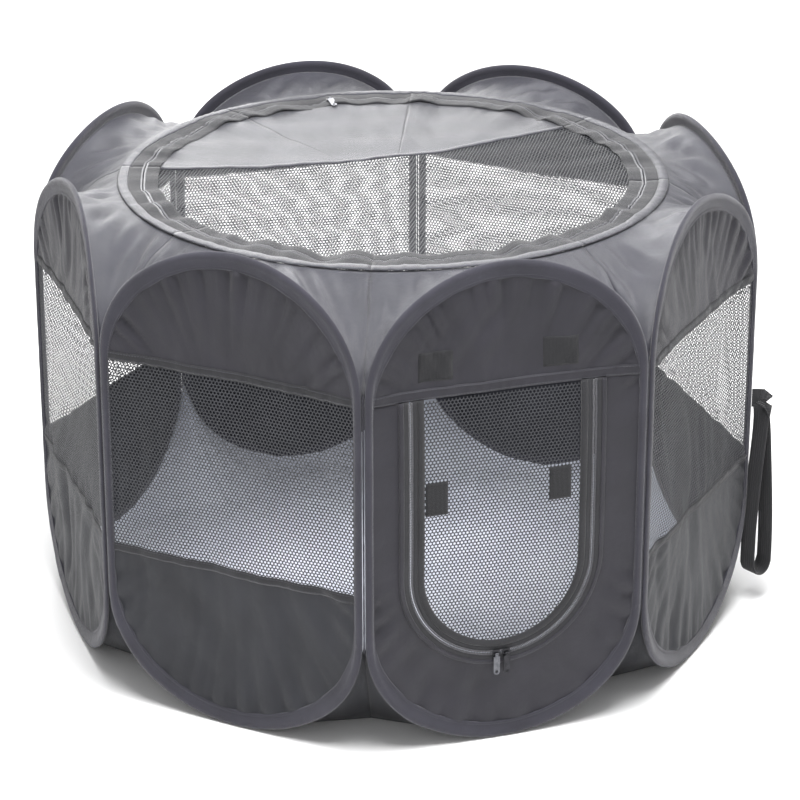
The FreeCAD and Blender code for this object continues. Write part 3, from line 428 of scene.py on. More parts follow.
def piece(name, points, faces, materials, body, uv=None, replaces=(), thickness=0.0):
    """A mesh of the visual model that rides on one body."""
    mesh = bpy.data.meshes.new(name)
    mesh.from_pydata(np.asarray(points, float).reshape(-1, 3).tolist(), [],
                     [tuple(int(i) for i in face) for face in faces])
    mesh.update()
    mesh.polygons.foreach_set("use_smooth", [True] * len(mesh.polygons))
    if uv is not None:
        layer = mesh.uv_layers.new(name="cloth")
        corners = np.zeros(len(mesh.loops), np.int32)
        mesh.loops.foreach_get("vertex_index", corners)
        layer.data.foreach_set("uv", np.asarray(uv, float).reshape(-1, 2)[corners].ravel())
    for material in materials:
        mesh.materials.append(material)
    made = bpy.data.objects.new(name, mesh)
    bpy.context.scene.collection.objects.link(made)
    if thickness:
        shell = made.modifiers.new("thickness", "SOLIDIFY")
        shell.thickness = thickness
        shell.offset = -1.0
        shell.use_even_offset = False
        shell.material_offset = len(materials) - 1
        shell.material_offset_rim = 0
    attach(made, body)
    if replaces:
        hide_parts(*replaces)
    return made


def grid_faces(rows, columns, closed_rows=False, closed_columns=False, flip=False):
    """Quads of a grid of points laid out row by row."""
    last_row = rows if closed_rows else rows - 1
    last_column = columns if closed_columns else columns - 1
    row, column = np.meshgrid(np.arange(last_row), np.arange(last_column), indexing="ij")
    next_row, next_column = (row + 1) % rows, (column + 1) % columns
    faces = np.stack([row * columns + column, row * columns + next_column,
                      next_row * columns + next_column, next_row * columns + column], -1)
    faces = faces.reshape(-1, 4)
    return faces[:, ::-1] if flip else faces


# The roof of a sewn thread; and the two tapered halves of a coil's tooth with its two ends.
THREAD_FACES = [(0, 1, 4, 3), (1, 2, 5, 4)]
TOOTH_FACES = [(ring + side, ring + (side + 1) % 4, ring + 4 + (side + 1) % 4, ring + 4 + side)
               for ring in (0, 4) for side in range(4)] + [(0, 1, 2, 3), (8, 9, 10, 11)]
TOOTH_CORNERS = ((-1, -1), (1, -1), (1, 1), (-1, 1))


def solids(corners, faces):
    """Many copies of one small shape: corners[i] holds corner i of every copy."""
    base = (np.arange(len(corners[0])) * len(corners))[:, None]
    quads = np.concatenate([base + np.array([face]) for face in faces])
    return np.stack(corners, 1).reshape(-1, 3), quads


SLEEVE_OUTSIDE = [(0.0, -3.5), (0.5, -4.9), (1.8, -6.1), (3.8, -6.8), (6.2, -6.9), (8.6, -6.4),
                  (11.2, -5.6), (14.0, -5.2), (16.4, -4.95), (17.4, -4.7), (18.4, -4.95),
                  (20.5, -4.9), (21.0, -4.4)]
SLEEVE_INSIDE = [(21.0, -2.7), (20.5, -2.2), (18.4, -2.1), (17.4, -2.35), (16.4, -2.1),
                 (14.0, -1.9), (11.2, -1.5), (8.6, -0.8), (6.2, -0.25), (3.8, -0.35),
                 (1.8, -1.0), (0.5, -2.2)]


def pinched(inset, z):
    """Inset of the sleeve's points past the wire, drawn in where the sleeve is narrow."""
    room = (band_width(z) - PINCH_START) / (SLEEVE - PINCH_START)
    return np.where(inset > PINCH_START, PINCH_START + (inset - PINCH_START) * room, inset)


def make_sleeve(number):
    """Folded binding round the hoop, with its bulge over the wire, an overlap near the bottom
    and a sewn inner edge."""
    name = NAMES[number]
    outline, total = hoop_outline(0.0065)
    profile = np.array(SLEEVE_OUTSIDE + SLEEVE_INSIDE) / 1000
    along = outline[:, 4]
    turn = 2 * math.pi * along / total
    inset = profile[None, :, 0] * np.ones((len(along), 1))
    depth = profile[None, :, 1] * np.ones((len(along), 1))
    free = np.sin(np.clip(profile[:, 0] / SLEEVE, 0, 1) * math.pi)[None, :]
    wave = ripple(np.cos(turn) * 4.5, np.sin(turn) * 4.5, 200 + number)[:, None]
    fine = ripple(np.cos(turn) * 16, np.sin(turn) * 16, 220 + number)[:, None]
    swell = 1 + 0.10 * free * wave + 0.06 * free * fine
    depth = -MID_DEPTH + (depth + MID_DEPTH) * swell
    inset = inset + 0.0006 * wave * (profile[None, :, 0] / SLEEVE) ** 2
    # The binding's two ends lap over each other near the bottom.
    lap_start = total * (0.757 if number % 2 == 0 else 0.70)
    lap_end = lap_start + LAP_LENGTH
    lap = smooth(along, lap_start, lap_start + LAP_SLOPE) * (
        1 - smooth(along, lap_end, lap_end + LAP_SLOPE))
    depth = -MID_DEPTH + (depth + MID_DEPTH) * (1 + 0.16 * lap[:, None])
    inset = inset + 0.0006 * lap[:, None] * (profile[None, :, 0] / SLEEVE * 2 - 1)
    inset = pinched(inset, outline[:, 1, None])
    x = outline[:, 0, None] - outline[:, 2, None] * inset
    z = outline[:, 1, None] - outline[:, 3, None] * inset
    depth = np.minimum(depth, -0.0001)
    points = np.stack([x, depth + bow(x, z), z], -1)
    uv = stacked(along[:, None], lengths_along(profile)[None, :])
    faces = grid_faces(len(outline), len(profile), True, True)
    piece("sleeve_" + name, placed(points, number), faces, [BINDING], "panel_" + name,
          uv, ["binding_" + name])

    # Stitches along both faces of the sewn edge.
    count = int(total / STITCH_PITCH)
    middles = (np.arange(count) + 0.5) * total / count
    vertices, faces = joined([stitch_row(outline, total, middles, STITCH_INSET, depth)
                              for depth in (-0.0050, -0.0020)])
    piece("stitches_" + name, placed(vertices, number), faces, [THREAD], "panel_" + name)

    # The spring wire itself, inside the sleeve.
    circle = np.linspace(0, 2 * math.pi, WIRE_SIDES, endpoint=False)
    wire_inset = WIRE_INSET + WIRE_RADIUS * np.cos(circle)[None, :]
    x = outline[:, 0, None] - outline[:, 2, None] * wire_inset
    z = outline[:, 1, None] - outline[:, 3, None] * wire_inset
    y = -MID_DEPTH + WIRE_RADIUS * np.sin(circle)[None, :] + bow(x, z)
    faces = grid_faces(len(outline), WIRE_SIDES, True, True)
    piece("wire_" + name, placed(stacked(x, y, z), number), faces,
          [STEEL], "panel_" + name, None, ["hoop_" + name])


def stitch_row(outline, total, middles, inset, depth):
    """Small raised threads along the hoop at one inset."""
    place = []
    for shift in (-STITCH_HALF, STITCH_HALF):
        at = (middles + shift) % total
        columns = [np.interp(at, outline[:, 4], outline[:, i], period=total) for i in range(4)]
        place.append(np.stack(columns, -1))
    ends = []
    for rows in place:
        sewn = pinched(np.full(len(rows), inset), rows[:, 1])
        x = rows[:, 0] - rows[:, 2] * sewn
        z = rows[:, 1] - rows[:, 3] * sewn
        ends.append((x, z, rows[:, 2:4]))
    return thread_prisms(ends, depth)


def thread_prisms(ends, depth, half=0.00028):
    """Threads between pairs of points: a four-sided bar with sunk ends."""
    outward = math.copysign(1, depth + MID_DEPTH)
    vertices = []
    for x, z, normal in ends:
        for side, lift in ((-1, 0.0), (0, 1.0), (1, 0.0)):
            px = x + normal[:, 0] * half * side * 1.4
            pz = z + normal[:, 1] * half * side * 1.4
            py = depth + bow(px, pz) + outward * half * lift * 1.6
            vertices.append(np.stack([px, py, pz], -1))
    return solids(vertices, THREAD_FACES)


def joined(parts):
    """One list of vertices and faces from several."""
    vertices, faces, start = [], [], 0
    for points, quads in parts:
        points = np.asarray(points, float).reshape(-1, 3)
        vertices.append(points)
        faces.extend((np.asarray(quads) + start).tolist())
        start += len(points)
    return np.concatenate(vertices), faces


def half_span(z, inset):
    """Half the hoop's inner width at a height, a distance in from its outline."""
    z = np.asarray(z, float)
    above = np.where(z > HEIGHT / 2, z - (HEIGHT - ARCH), ARCH - z)
    above = np.clip(above, 0, None)
    drop = CROWN - ARCH
    crown = np.sqrt(np.clip((CROWN - inset) ** 2 - (above + drop) ** 2, 0, None))
    reach = np.clip((SHOULDER - inset) ** 2 - above ** 2, 0, None)
    shoulder = SHOULDER_X + np.sqrt(reach)
    rise = (SHOULDER - inset) * math.sin(MEET)
    return np.where(above < rise, shoulder, crown)


def cloth_grid(low, high, rows, columns):
    """Points of the panel's cloth between two heights."""
    share = np.linspace(0, 1, rows)
    if high > HEIGHT - 0.03:
        share = 1 - (1 - share) ** 1.6
    elif low < 0.03:
        share = share ** 1.6
    z = low + (high - low) * share
    reach = half_span(z, band_width(z) - TUCK)
    across = np.linspace(-1, 1, columns)
    x = reach[:, None] * across[None, :]
    z = z[:, None] * np.ones((1, columns))
    return x, z


def cloth_piece(name, number, low, high, materials, replaces=(), rows=44, columns=84):
    x, z = cloth_grid(low, high, rows, columns)
    points = np.stack([x, surface(number, x, z) - CLOTH_LIFT, z], -1)
    made = piece(name, placed(points, number), grid_faces(rows, columns), materials,
                 "panel_" + NAMES[number], stacked(x, z), replaces, CLOTH_THICKNESS)


def seam_tape(name, number, low, high, material=None, lift=0.0009):
    """Tape over the mesh's edge with a row of stitches."""
    z = np.linspace(low, high, 5)
    reach = half_span(z, band_width(z) - TAPE_TUCK)
    across = np.linspace(-1, 1, 90)
    x = reach[:, None] * across[None, :]
    z = z[:, None] * np.ones((1, 90))
    crown = np.array([0.3, 1.0, 1.0, 1.0, 0.3])[:, None]
    pucker = 0.00025 * ripple(x / 0.018, z / 0.02, 300 + number)
    y = surface(number, x, z) - 0.0005 - lift * crown - pucker
    points = stacked(x, y, z)
    piece(name, placed(points, number), grid_faces(5, 90), [material or TAPE],
          "panel_" + NAMES[number], stacked(x, z), (), 0.0005)
    rows = []
    for height in (low + 0.0022, high - 0.0022):
        rows.append(straight_stitches(number, height, 0.0006 + lift))
    vertices, faces = joined(rows)
    piece(name + "_stitches", placed(vertices, number), faces, [THREAD],
          "panel_" + NAMES[number])


def straight_stitches(number, height, lift):
    reach = float(half_span(height, band_width(height) - TAPE_TUCK))
    count = int(2 * reach / STITCH_PITCH)
    middle = np.linspace(-reach + 0.003, reach - 0.003, count)
    vertices = []
    for shift in (-STITCH_HALF, STITCH_HALF):
        for side, rise in ((-1, 0.0), (0, 1.0), (1, 0.0)):
            x = middle + shift
            z = np.full(count, height + side * 0.0004)
            y = surface(number, x, z) - lift - rise * 0.00045
            vertices.append(stacked(x, y, z))
    return solids(vertices, THREAD_FACES)


def hex_net(low_x, high_x, low_z, high_z, keep):
    """Flat net of hexagonal holes: x and z of its vertices, and its faces."""
    row_step = NET_PITCH * math.sqrt(3) / 2
    columns = int((high_x - low_x) / NET_PITCH) + 2
    rows = int((high_z - low_z) / row_step) + 2
    row, column = np.meshgrid(np.arange(rows), np.arange(columns), indexing="ij")
    x = low_x + NET_PITCH * (column + 0.5 * (row % 2))
    z = low_z + row_step * row
    kept = keep(x, z)
    reach = (NET_PITCH - NET_STRAND) / math.sqrt(3)
    angles = np.radians(90 + 60 * np.arange(6))
    corner_x = (x[..., None] + reach * np.cos(angles)).ravel()
    corner_z = (z[..., None] + reach * np.sin(angles)).ravel()

    def index(cell_row, cell_column, corner):
        return (cell_row * columns + cell_column) * 6 + corner

    odd = row % 2
    right = (row, column + 1)
    upper_right = (row + 1, column + odd)
    upper_left = (row + 1, column + odd - 1)

    def has(cell):
        cell_row, cell_column = cell
        inside = (cell_row < rows) & (cell_column >= 0) & (cell_column < columns)
        safe_row = np.clip(cell_row, 0, rows - 1)
        safe_column = np.clip(cell_column, 0, columns - 1)
        return inside & kept[safe_row, safe_column]

    here = (row, column)
    faces = []
    for cells, corners in (
        ((here, here, right, right), (5, 4, 2, 1)),
        ((here, upper_right, upper_right, here), (5, 3, 2, 0)),
        ((here, upper_left, upper_left, here), (0, 4, 3, 1)),
        ((here, upper_right, upper_left), (0, 2, 4)),
        ((here, right, upper_right), (5, 1, 3)),
    ):
        good = kept.copy()
        for cell in cells:
            good &= has(cell)
        made = np.stack([index(*cell, corner) for cell, corner in zip(cells, corners)], -1)
        faces.extend(made[good].tolist())
    used = np.unique(np.concatenate([np.array(face) for face in faces]))
    renumber = np.zeros(len(corner_x), int)
    renumber[used] = np.arange(len(used))
    faces = [[int(renumber[i]) for i in face] for face in faces]
    return corner_x[used], corner_z[used], faces


def net_piece(name, number, keep, body, replaces, low_z, high_z, shift=0.0):
    x, z, faces = hex_net(-HALF_WIDTH, HALF_WIDTH, low_z, high_z, keep)
    points = np.stack([x, surface(number, x, z) + shift, z], -1)
    made = piece(name, placed(points, number), faces, [NET], body,
                 stacked(x, z), replaces)
    made.visible_shadow = False


def in_panel(x, z):
    return edge_distance(x, z) > band_width(z) - TUCK + 0.001


def seam_welt(number):
    """Sewn seam that closes the gap between a panel and the next."""
    z = np.linspace(ARCH - 0.012, HEIGHT - ARCH + 0.012, WELT_ROWS)[:, None]
    turn = np.linspace(0, 2 * math.pi, WELT_SIDES, endpoint=False)[None, :]
    thick = 1 + 0.12 * ripple(z / 0.03, 0 * z, 340 + number)
    x = HALF_WIDTH + WELT_SHIFT + WELT_RADIUS * thick * np.cos(turn)
    y = -WELT_DEPTH + WELT_RADIUS * thick * np.sin(turn)
    points = stacked(x, y, z)
    uv = stacked(z, turn * WELT_RADIUS)
    piece("seam_" + NAMES[number], placed(points, number), grid_faces(WELT_ROWS, WELT_SIDES, False, True),
          [BINDING], "panel_" + NAMES[number], uv)


for number, name in enumerate(NAMES):
    make_sleeve(number)
    seam_welt(number)
    if number == 0:
        continue
    cloth_piece("upper_cloth_" + name, number, MESH_TOP, HEIGHT - CLOTH_MARGIN, [OUTER, INNER],
                ["cloth_" + name])
    cloth_piece("lower_cloth_" + name, number, CLOTH_MARGIN, MESH_BOTTOM, [LOWER, INNER])
    seam_tape("upper_tape_" + name, number, MESH_TOP - 0.001, MESH_TOP + 0.010)
    seam_tape("lower_tape_" + name, number, MESH_BOTTOM - 0.010, MESH_BOTTOM + 0.001)
    net_piece("net_" + name, number, in_panel, "panel_" + name, ["mesh_" + name],
              MESH_BOTTOM - 0.004, MESH_TOP + 0.002)

# ------------------------------------------------------------------ front panel and door

front = "panel_front"
cloth_piece("upper_cloth_front", 0, MESH_TOP, HEIGHT - CLOTH_MARGIN, [OUTER, INNER],
            ["cloth_front_upper"])
seam_tape("front_hem", 0, MESH_TOP - 0.001, MESH_TOP + 0.012, OUTER, CLOTH_THICKNESS)


def door_path(step):
    """Rows of x, z, normal away from the door and length along the zip, left top to right
    top."""
    top = MESH_TOP - 0.0006
    left = [(DOOR_X - DOOR_RADIUS, z, -1.0, 0.0)
            for z in np.arange(top, DOOR_LOW, -step)]
    turn = np.linspace(math.pi, 2 * math.pi, int(math.pi * DOOR_RADIUS / step))
    bottom = [(DOOR_X + DOOR_RADIUS * math.cos(a), DOOR_LOW + DOOR_RADIUS * math.sin(a),
               math.cos(a), math.sin(a)) for a in turn]
    right = [(DOOR_X + DOOR_RADIUS, z, 1.0, 0.0) for z in np.arange(DOOR_LOW + step, top, step)]
    right.append((DOOR_X + DOOR_RADIUS, top, 1.0, 0.0))
    rows = np.array(left + bottom + right)
    return np.column_stack([rows, lengths_along(rows[:, :2])])


def door_strip(name, offsets, depths, material, body, replaces=(), thickness=0.0,
               step=0.006):
    """Band beside the door's zip through given offsets from it and depths."""
    path = door_path(step)
    offsets, depths = np.array(offsets)[None, :], np.array(depths)[None, :]
    x = path[:, 0, None] + path[:, 2, None] * offsets
    z = path[:, 1, None] + path[:, 3, None] * offsets
    y = surface(0, x, z) + MID_DEPTH + depths
    uv = stacked(path[:, 4, None], offsets)
    return piece(name, placed(stacked(x, y, z), 0),
                 grid_faces(len(path), offsets.shape[1], flip=True), [material], body, uv,
                 replaces, thickness)


COIL_DEPTH = 0.0043


def door_teeth(name, sign, body):
    """Coil teeth of one half of the zip."""
    path = door_path(0.001)
    total = path[-1, 4]
    middles = np.arange(COIL_PITCH, total - COIL_PITCH, COIL_PITCH)
    middles = middles + (COIL_PITCH / 2 if sign > 0 else 0)
    vertices = []
    for reach, half_long, half_deep in ((0.0004, 0.00055, 0.0009), (0.0016, 0.00085, 0.0014),
                                        (0.0030, 0.00075, 0.0010)):
        for along, deep in TOOTH_CORNERS:
            at = np.clip(middles + along * half_long, 0, total)
            x, z, nx, nz = (np.interp(at, path[:, 4], path[:, i]) for i in range(4))
            offset = sign * reach
            px, pz = x + nx * offset, z + nz * offset
            py = surface(0, px, pz) + MID_DEPTH - COIL_DEPTH + deep * half_deep
            vertices.append(stacked(px, py, pz))
    vertices, quads = solids(vertices, TOOTH_FACES)
    piece(name, placed(vertices, 0), quads, [COIL_NYLON], body)


def make_surround():
    """Cloth round the door: strips from the zip out to the hoop's sleeve."""
    path = door_path(0.006)
    count = 16
    far_x, far_z = [], []
    for x, z, nx, nz, _ in path:
        reach = np.linspace(0, 0.3, 600)
        px, pz = x + nx * reach, z + nz * reach
        inside = edge_distance(px, pz) > band_width(pz) - TUCK
        stop = reach[np.argmin(inside)] if not inside.all() else reach[-1]
        far_x.append(x + nx * stop)
        far_z.append(z + nz * stop)
    far = np.stack([far_x, far_z], -1)
    start = path[:, :2] + path[:, 2:4] * (SLOT_RADIUS - DOOR_RADIUS - 0.0008)
    share = np.linspace(0, 1, count)[None, :, None]
    flat = start[:, None, :] * (1 - share) + far[:, None, :] * share
    x, z = flat[..., 0], flat[..., 1]
    y = surface(0, x, z) - CLOTH_LIFT
    rows = len(path)
    points = stacked(x, y, z)
    made = piece("door_surround_cloth", placed(points, 0), grid_faces(rows, count),
                 [OUTER, INNER], front, stacked(x, z), ["door_surround"],
                 CLOTH_THICKNESS)


make_surround()
door_strip("frame_tape", [0.0016, 0.004, 0.007, 0.0098, 0.0104],
           [-0.0040, -0.0046, -0.0048, -0.0050, -0.0044], ZIP_TAPE_CLOTH, front,
           ["door_frame_zip"], 0.0005)
door_strip("frame_fold", [0.0088, 0.0096, 0.0112, 0.0136, 0.0144],
           [-0.0052, -0.0062, -0.0064, -0.0058, -0.0044], OUTER, front, (),
           0.0005)
door_teeth("frame_coil", 1, front)
door_strip("door_tape", [-0.0016, -0.004, -0.007, -0.0100],
           [-0.0040, -0.0046, -0.0048, -0.0046], ZIP_TAPE_CLOTH, "door",
           ["door_zip"], 0.0005)
door_strip("door_hem", [-0.0086, -0.0094, -0.0130, -0.0166, -0.0172],
           [-0.0048, -0.0058, -0.0060, -0.0056, -0.0040], TAPE, "door", (), 0.0012)
door_teeth("door_coil", -1, "door")


def in_door(x, z):
    return (door_distance(x, z) < -0.010) & (z < MESH_TOP - 0.002)


net_piece("door_net", 0, in_door, "door", ["door_mesh"], 0.10, MESH_TOP)


def patch(name, middle_x, middle_z, width, height, body, replaces=()):
    """Square of hook-and-loop tape, sewn on round its edge."""
    count = 15
    u = np.linspace(-1, 1, count)
    across, up = np.meshgrid(u, u)
    x = middle_x + across * width / 2
    z = middle_z + up * height / 2
    edge = np.maximum(np.abs(across), np.abs(up))
    sewn = 0.0004 * np.exp(-((edge - 0.86) / 0.07) ** 2)
    lift = 0.0006 + 0.0011 * smooth(1 - edge, 0, 0.12) - sewn
    y = surface(0, x, z) - lift
    points = stacked(x, y, z)
    piece(name, placed(points, 0), grid_faces(count, count), [HOOK_LOOP], body,
          stacked(x, z), replaces, TRIM_THICKNESS)


PATCH_X = -0.010
PATCH_SPREAD = 0.077
PATCHES = (("panel", MESH_TOP + 0.038, 0.042, 0.036, front),
           ("door", MESH_TOP - 0.127, 0.028, 0.042, "door"))
for kind, patch_z, width, height, body in PATCHES:
    for side, sign in (("left", -1), ("right", 1)):
        patch(kind + "_patch_" + side, PATCH_X + sign * PATCH_SPREAD, patch_z, width, height,
              body, [kind + "_patches"] if side == "left" else ())

# ------------------------------------------------------------------ roof and floor rings

PER_GORE = 48


def hoop_end(top):
    """x and z along the hoop's rounded end, left to right, PER_GORE + 1 places, with the
    normal."""
    outline, _ = hoop_outline(0.001)
    rising = outline[:, 1] > HEIGHT - ARCH if top else outline[:, 1] < ARCH
    rows = outline[rising]
    rows = rows[np.argsort(rows[:, 0], kind="stable")]
    length = lengths_along(rows[:, :2])
    even = np.linspace(0, length[-1], PER_GORE + 1)
    return np.stack([np.interp(even, length, rows[:, i]) for i in range(4)], -1)


def ring_grid(outer_rows, inner_radius, inner_height, rows):
    """Points from each hoop's end to a circle, as one closed ring of 8 gores in the row
    frame: an array of places round by rows inwards."""
    share = np.linspace(0, 1, rows)[None, :, None]
    around = []
    for number in range(8):
        outer = placed(outer_rows, number)[:-1]
        angle = TURN * number - math.pi / 2 + np.linspace(-HALF_TURN, HALF_TURN,
                                                         PER_GORE + 1)[:-1]
        inner = np.stack([inner_radius * np.cos(angle), inner_radius * np.sin(angle),
                          np.full(PER_GORE, inner_height)], -1)
        around.append(outer[:, None, :] * (1 - share) + inner[:, None, :] * share)
    return np.concatenate(around)


def smoothed(grid, passes, weight):
    """Points eased along the ring, by a weight for each place."""
    for _ in range(passes):
        mean = (np.roll(grid, 1, 0) + np.roll(grid, -1, 0)) / 2
        grid = grid + (mean - grid) * weight
    return grid


def gore_slice(grid, number):
    index = np.arange(number * PER_GORE, (number + 1) * PER_GORE + 1) % (8 * PER_GORE)
    return grid[index]


top_end = hoop_end(True)
notch = np.abs(np.linspace(-1, 1, PER_GORE + 1))
roof_inset = 0.016 * (1 - notch ** 5) - 0.0005 * notch ** 8
top_x = top_end[:, 0] - top_end[:, 2] * roof_inset
top_z = top_end[:, 1] - top_end[:, 3] * roof_inset
top_y = -0.0022 * (1 - notch ** 6) + bow(top_x, top_z)
roof_rows = 22
roof_grid = ring_grid(np.stack([top_x, top_y, top_z], -1), RING_OUTER - 0.0006,
                      RING_HEIGHT - 0.0004, roof_rows)
round_place = np.arange(8 * PER_GORE) / PER_GORE
in_gore = np.abs((round_place % 1) * 2 - 1)
radial = np.linspace(0, 1, roof_rows)
free = np.sin(np.clip(radial, 0, 1) * math.pi)[None, :]
valley = (smooth(in_gore, 0.72, 1.0)[:, None] * smooth(radial, 0, 0.25)[None, :]
          * smooth(1 - radial, 0, 0.2)[None, :])
roof_grid = smoothed(roof_grid, 14, valley[..., None] * 0.9)
theta = round_place[:, None] * TURN
creases = folds(round_place[:, None] * 9 + radial[None, :] * 0.8, 401) * 0.0030
creases = creases + ripple(np.cos(theta) * 9, np.sin(theta) * 9 + radial[None, :], 402) * 0.0032
in_valley = smooth(in_gore, 0.6, 1)[:, None]
bulge = in_valley * smooth(radial, 0.1, 0.75)[None, :] * 0.014
gathers = folds(round_place[:, None] * 26 + radial[None, :] * 1.5, 405)
creases = creases + in_valley * gathers * 0.0042
roof_grid[..., 2] += free * (creases + bulge - 0.003)
roof_grid[..., 2] += np.exp(-(in_gore / 0.03) ** 2)[:, None] * free * 0.0012


def wavy(angle, radius, seed):
    """The ring's tape never lies flat: height of its wave at an angle and radius."""
    edge = np.clip((RING_OUTER - radius) / (RING_OUTER - RING_INNER), 0, 1)
    place = (np.cos(angle) * RING_OUTER / 0.075, np.sin(angle) * RING_OUTER / 0.075)
    return edge ** 1.3 * 0.0046 * ripple(*place, seed) + 0.0006 * ripple(
        place[0] * 4, place[1] * 4, seed + 1)


def circle_band(radii, heights, seed):
    angle = (np.arange(8 * PER_GORE) / PER_GORE - 0.5) * TURN - math.pi / 2
    radii = np.array(radii)[None, :] * np.ones((len(angle), 1))
    edge = np.clip((RING_OUTER - radii) / (RING_OUTER - RING_INNER), 0, 1)
    radii = radii + edge * 0.0016 * ripple(np.cos(angle) * 3.5, np.sin(angle) * 3.5,
                                           seed + 7)[:, None]
    z = RING_HEIGHT + np.array(heights)[None, :] + wavy(angle[:, None], radii, seed)
    return np.stack([radii * np.cos(angle)[:, None], radii * np.sin(angle)[:, None], z], -1)


hem_radii = RING_OUTER + 0.001 - np.array([0.0, 0.0015, 0.006, 0.0115, 0.013])
hem_band = circle_band(hem_radii, [0.0002, 0.0018, 0.0022, 0.0022, 0.0006], 500)
tape_radii = RING_OUTER - np.array([0.010, 0.015, 0.021, 0.0268, 0.0285])
tape_band = circle_band(tape_radii, [0.0004, 0.0009, 0.0010, 0.0010, 0.0004], 500)
GORE_UV = np.linspace(-0.2, 0.2, PER_GORE + 1)[:, None]


def gore_uv(rows, depth):
    return stacked(GORE_UV, np.linspace(0, depth, rows)[None, :])


def squash_to_panel(made):
    """Gives this piece a mesh of its own."""
    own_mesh(made)


def ring_teeth(number, sign):
    """Coil teeth along one gore's piece of the ring, sign 1, or of the cover, sign -1."""
    count = int(RING_INNER * TURN / COIL_PITCH)
    shift = 0.5 + 0.25 * sign
    middles = (np.arange(count) + shift) / count * TURN - HALF_TURN + TURN * number - math.pi / 2
    vertices = []
    for reach, half_long, half_deep in ((0.0, 0.00055, 0.0009), (0.0014, 0.00085, 0.0013),
                                        (0.0030, 0.00075, 0.0010)):
        for along, deep in TOOTH_CORNERS:
            angle = middles + along * half_long / RING_INNER
            radius = np.full(count, RING_INNER - ZIP_HALF_GAP + sign * (ZIP_HALF_GAP + reach))
            radius = radius + 0.0016 * ripple(np.cos(angle) * 3.5, np.sin(angle) * 3.5, 507)
            z = RING_HEIGHT + wavy(angle, radius, 500) + deep * half_deep + 0.0004
            vertices.append(np.stack([radius * np.cos(angle), radius * np.sin(angle), z], -1))
    return solids(vertices, TOOTH_FACES)


# ------------------------------------------------------------------ cover zipped into the ring
COVER_RIM = RING_INNER - 0.010
HEM_MIDDLE, HEM_RISE, HEM_REACH = 0.085, 0.034, 0.288
HEM_BEND = HEM_RISE / HEM_REACH ** 2
CLOTH_GORES = (3, 4, 5)
COVER_SAG = 0.008
LAP = 0.002
cover_radii = RING_INNER - np.array([0.0026, 0.0046, 0.0090, 0.0150, 0.0186, 0.0194])
cover_band = circle_band(cover_radii, [0.0004, 0.0012, 0.0010, 0.0013, 0.0012, 0.0], 500)


def cover_height(x, y):
    """Height of the cover: it sags a little and puckers at its zip."""
    radius, angle = np.hypot(x, y), np.arctan2(y, x)
    from_rim = np.clip(RING_INNER - radius, 0, None)
    sag = COVER_SAG * (1 - (radius / RING_INNER) ** 2)
    soft = ripple(x / 0.17, y / 0.11, 700) * 0.0020 + ripple(x / 0.05, y / 0.09, 701) * 0.0006
    pucker = folds(angle * 14, 702) * np.exp(-from_rim / 0.022) * 0.0012
    rim_wave = wavy(angle, radius, 500) * np.exp(-from_rim / 0.03)
    return RING_HEIGHT - 0.0006 + rim_wave + smooth(from_rim, 0.008, 0.03) * (
        pucker + soft - sag)


def cloth_edge(x):
    """How far back the cover's net ends and its cloth begins."""
    return HEM_MIDDLE + HEM_BEND * x ** 2


def in_cover_net(x, y):
    return (np.hypot(x, y) < RING_INNER - 0.012) & (y < cloth_edge(x) + 0.004)


net_x, net_y, net_faces = hex_net(-RING_INNER, RING_INNER, -RING_INNER, HEM_MIDDLE + HEM_RISE,
                                  in_cover_net)
net_first = np.array([face[0] for face in net_faces])
net_gore = np.round((np.arctan2(net_y, net_x)[net_first] + math.pi / 2) / TURN).astype(int) % 8


def cover_net(number):
    """One panel's part of the cover's net."""
    faces = [net_faces[i] for i in np.flatnonzero(net_gore == number)]
    used = sorted({corner for face in faces for corner in face})
    order = {corner: place for place, corner in enumerate(used)}
    faces = [[order[corner] for corner in face] for face in faces]
    x, y = net_x[used], net_y[used]
    points = np.stack([x, y, cover_height(x, y)], -1)
    made = piece("cover_net_" + NAMES[number], points, faces, [NET], "panel_" + NAMES[number],
                 stacked(x, y))
    made.visible_shadow = False
    # A triangle of net has strands on just over a quarter of its rectangle, which is the real cut.
    # A sheet is declared with LEAST_FILL of it or more. The area is stated above that of the
    # strands, by up to a fifth on the narrowest ones.
    return made


def cover_cloth(number):
    """Cloth part of the cover with the hem along its edge, for one of the back panels."""
    middle = TURN * number - math.pi / 2
    angle = np.linspace(middle - HALF_TURN, middle + HALF_TURN + LAP, PER_GORE + 1)[:, None]
    sine, cosine = np.sin(angle), np.cos(angle)
    start = 2 * HEM_MIDDLE / (sine + np.sqrt(sine ** 2 - 4 * HEM_MIDDLE * HEM_BEND * cosine ** 2))
    start = np.minimum(start, COVER_RIM - 0.002)
    rows = 24
    radius = start + (COVER_RIM - start) * np.linspace(0, 1, rows)[None, :]
    x, y = radius * cosine, radius * sine
    z = cover_height(x, y) + 0.0004
    body = "panel_" + NAMES[number]
    # The cover's cloth takes the lighter cloth with the painted highlight.
    sheet = piece("cover_cloth_" + NAMES[number], stacked(x, y, z),
                  grid_faces(PER_GORE + 1, rows), [COVER_PAINTED_HIGHLIGHT, INNER], body,
                  stacked(x, y), (), CLOTH_THICKNESS)
    across = np.array([-0.0012, -0.0006, 0.0010, 0.0070, 0.0082])[None, :]
    rise = np.array([-0.0004, 0.0012, 0.0018, 0.0013, 0.0004])[None, :]
    x = start * cosine + 0 * across
    y = start * sine + across
    hem = piece("cover_hem_" + NAMES[number], np.stack([x, y, cover_height(x, y) + rise], -1),
                grid_faces(PER_GORE + 1, 5), [ROOF], body,
                stacked(x, y), (), TRIM_THICKNESS)
    return sheet, hem


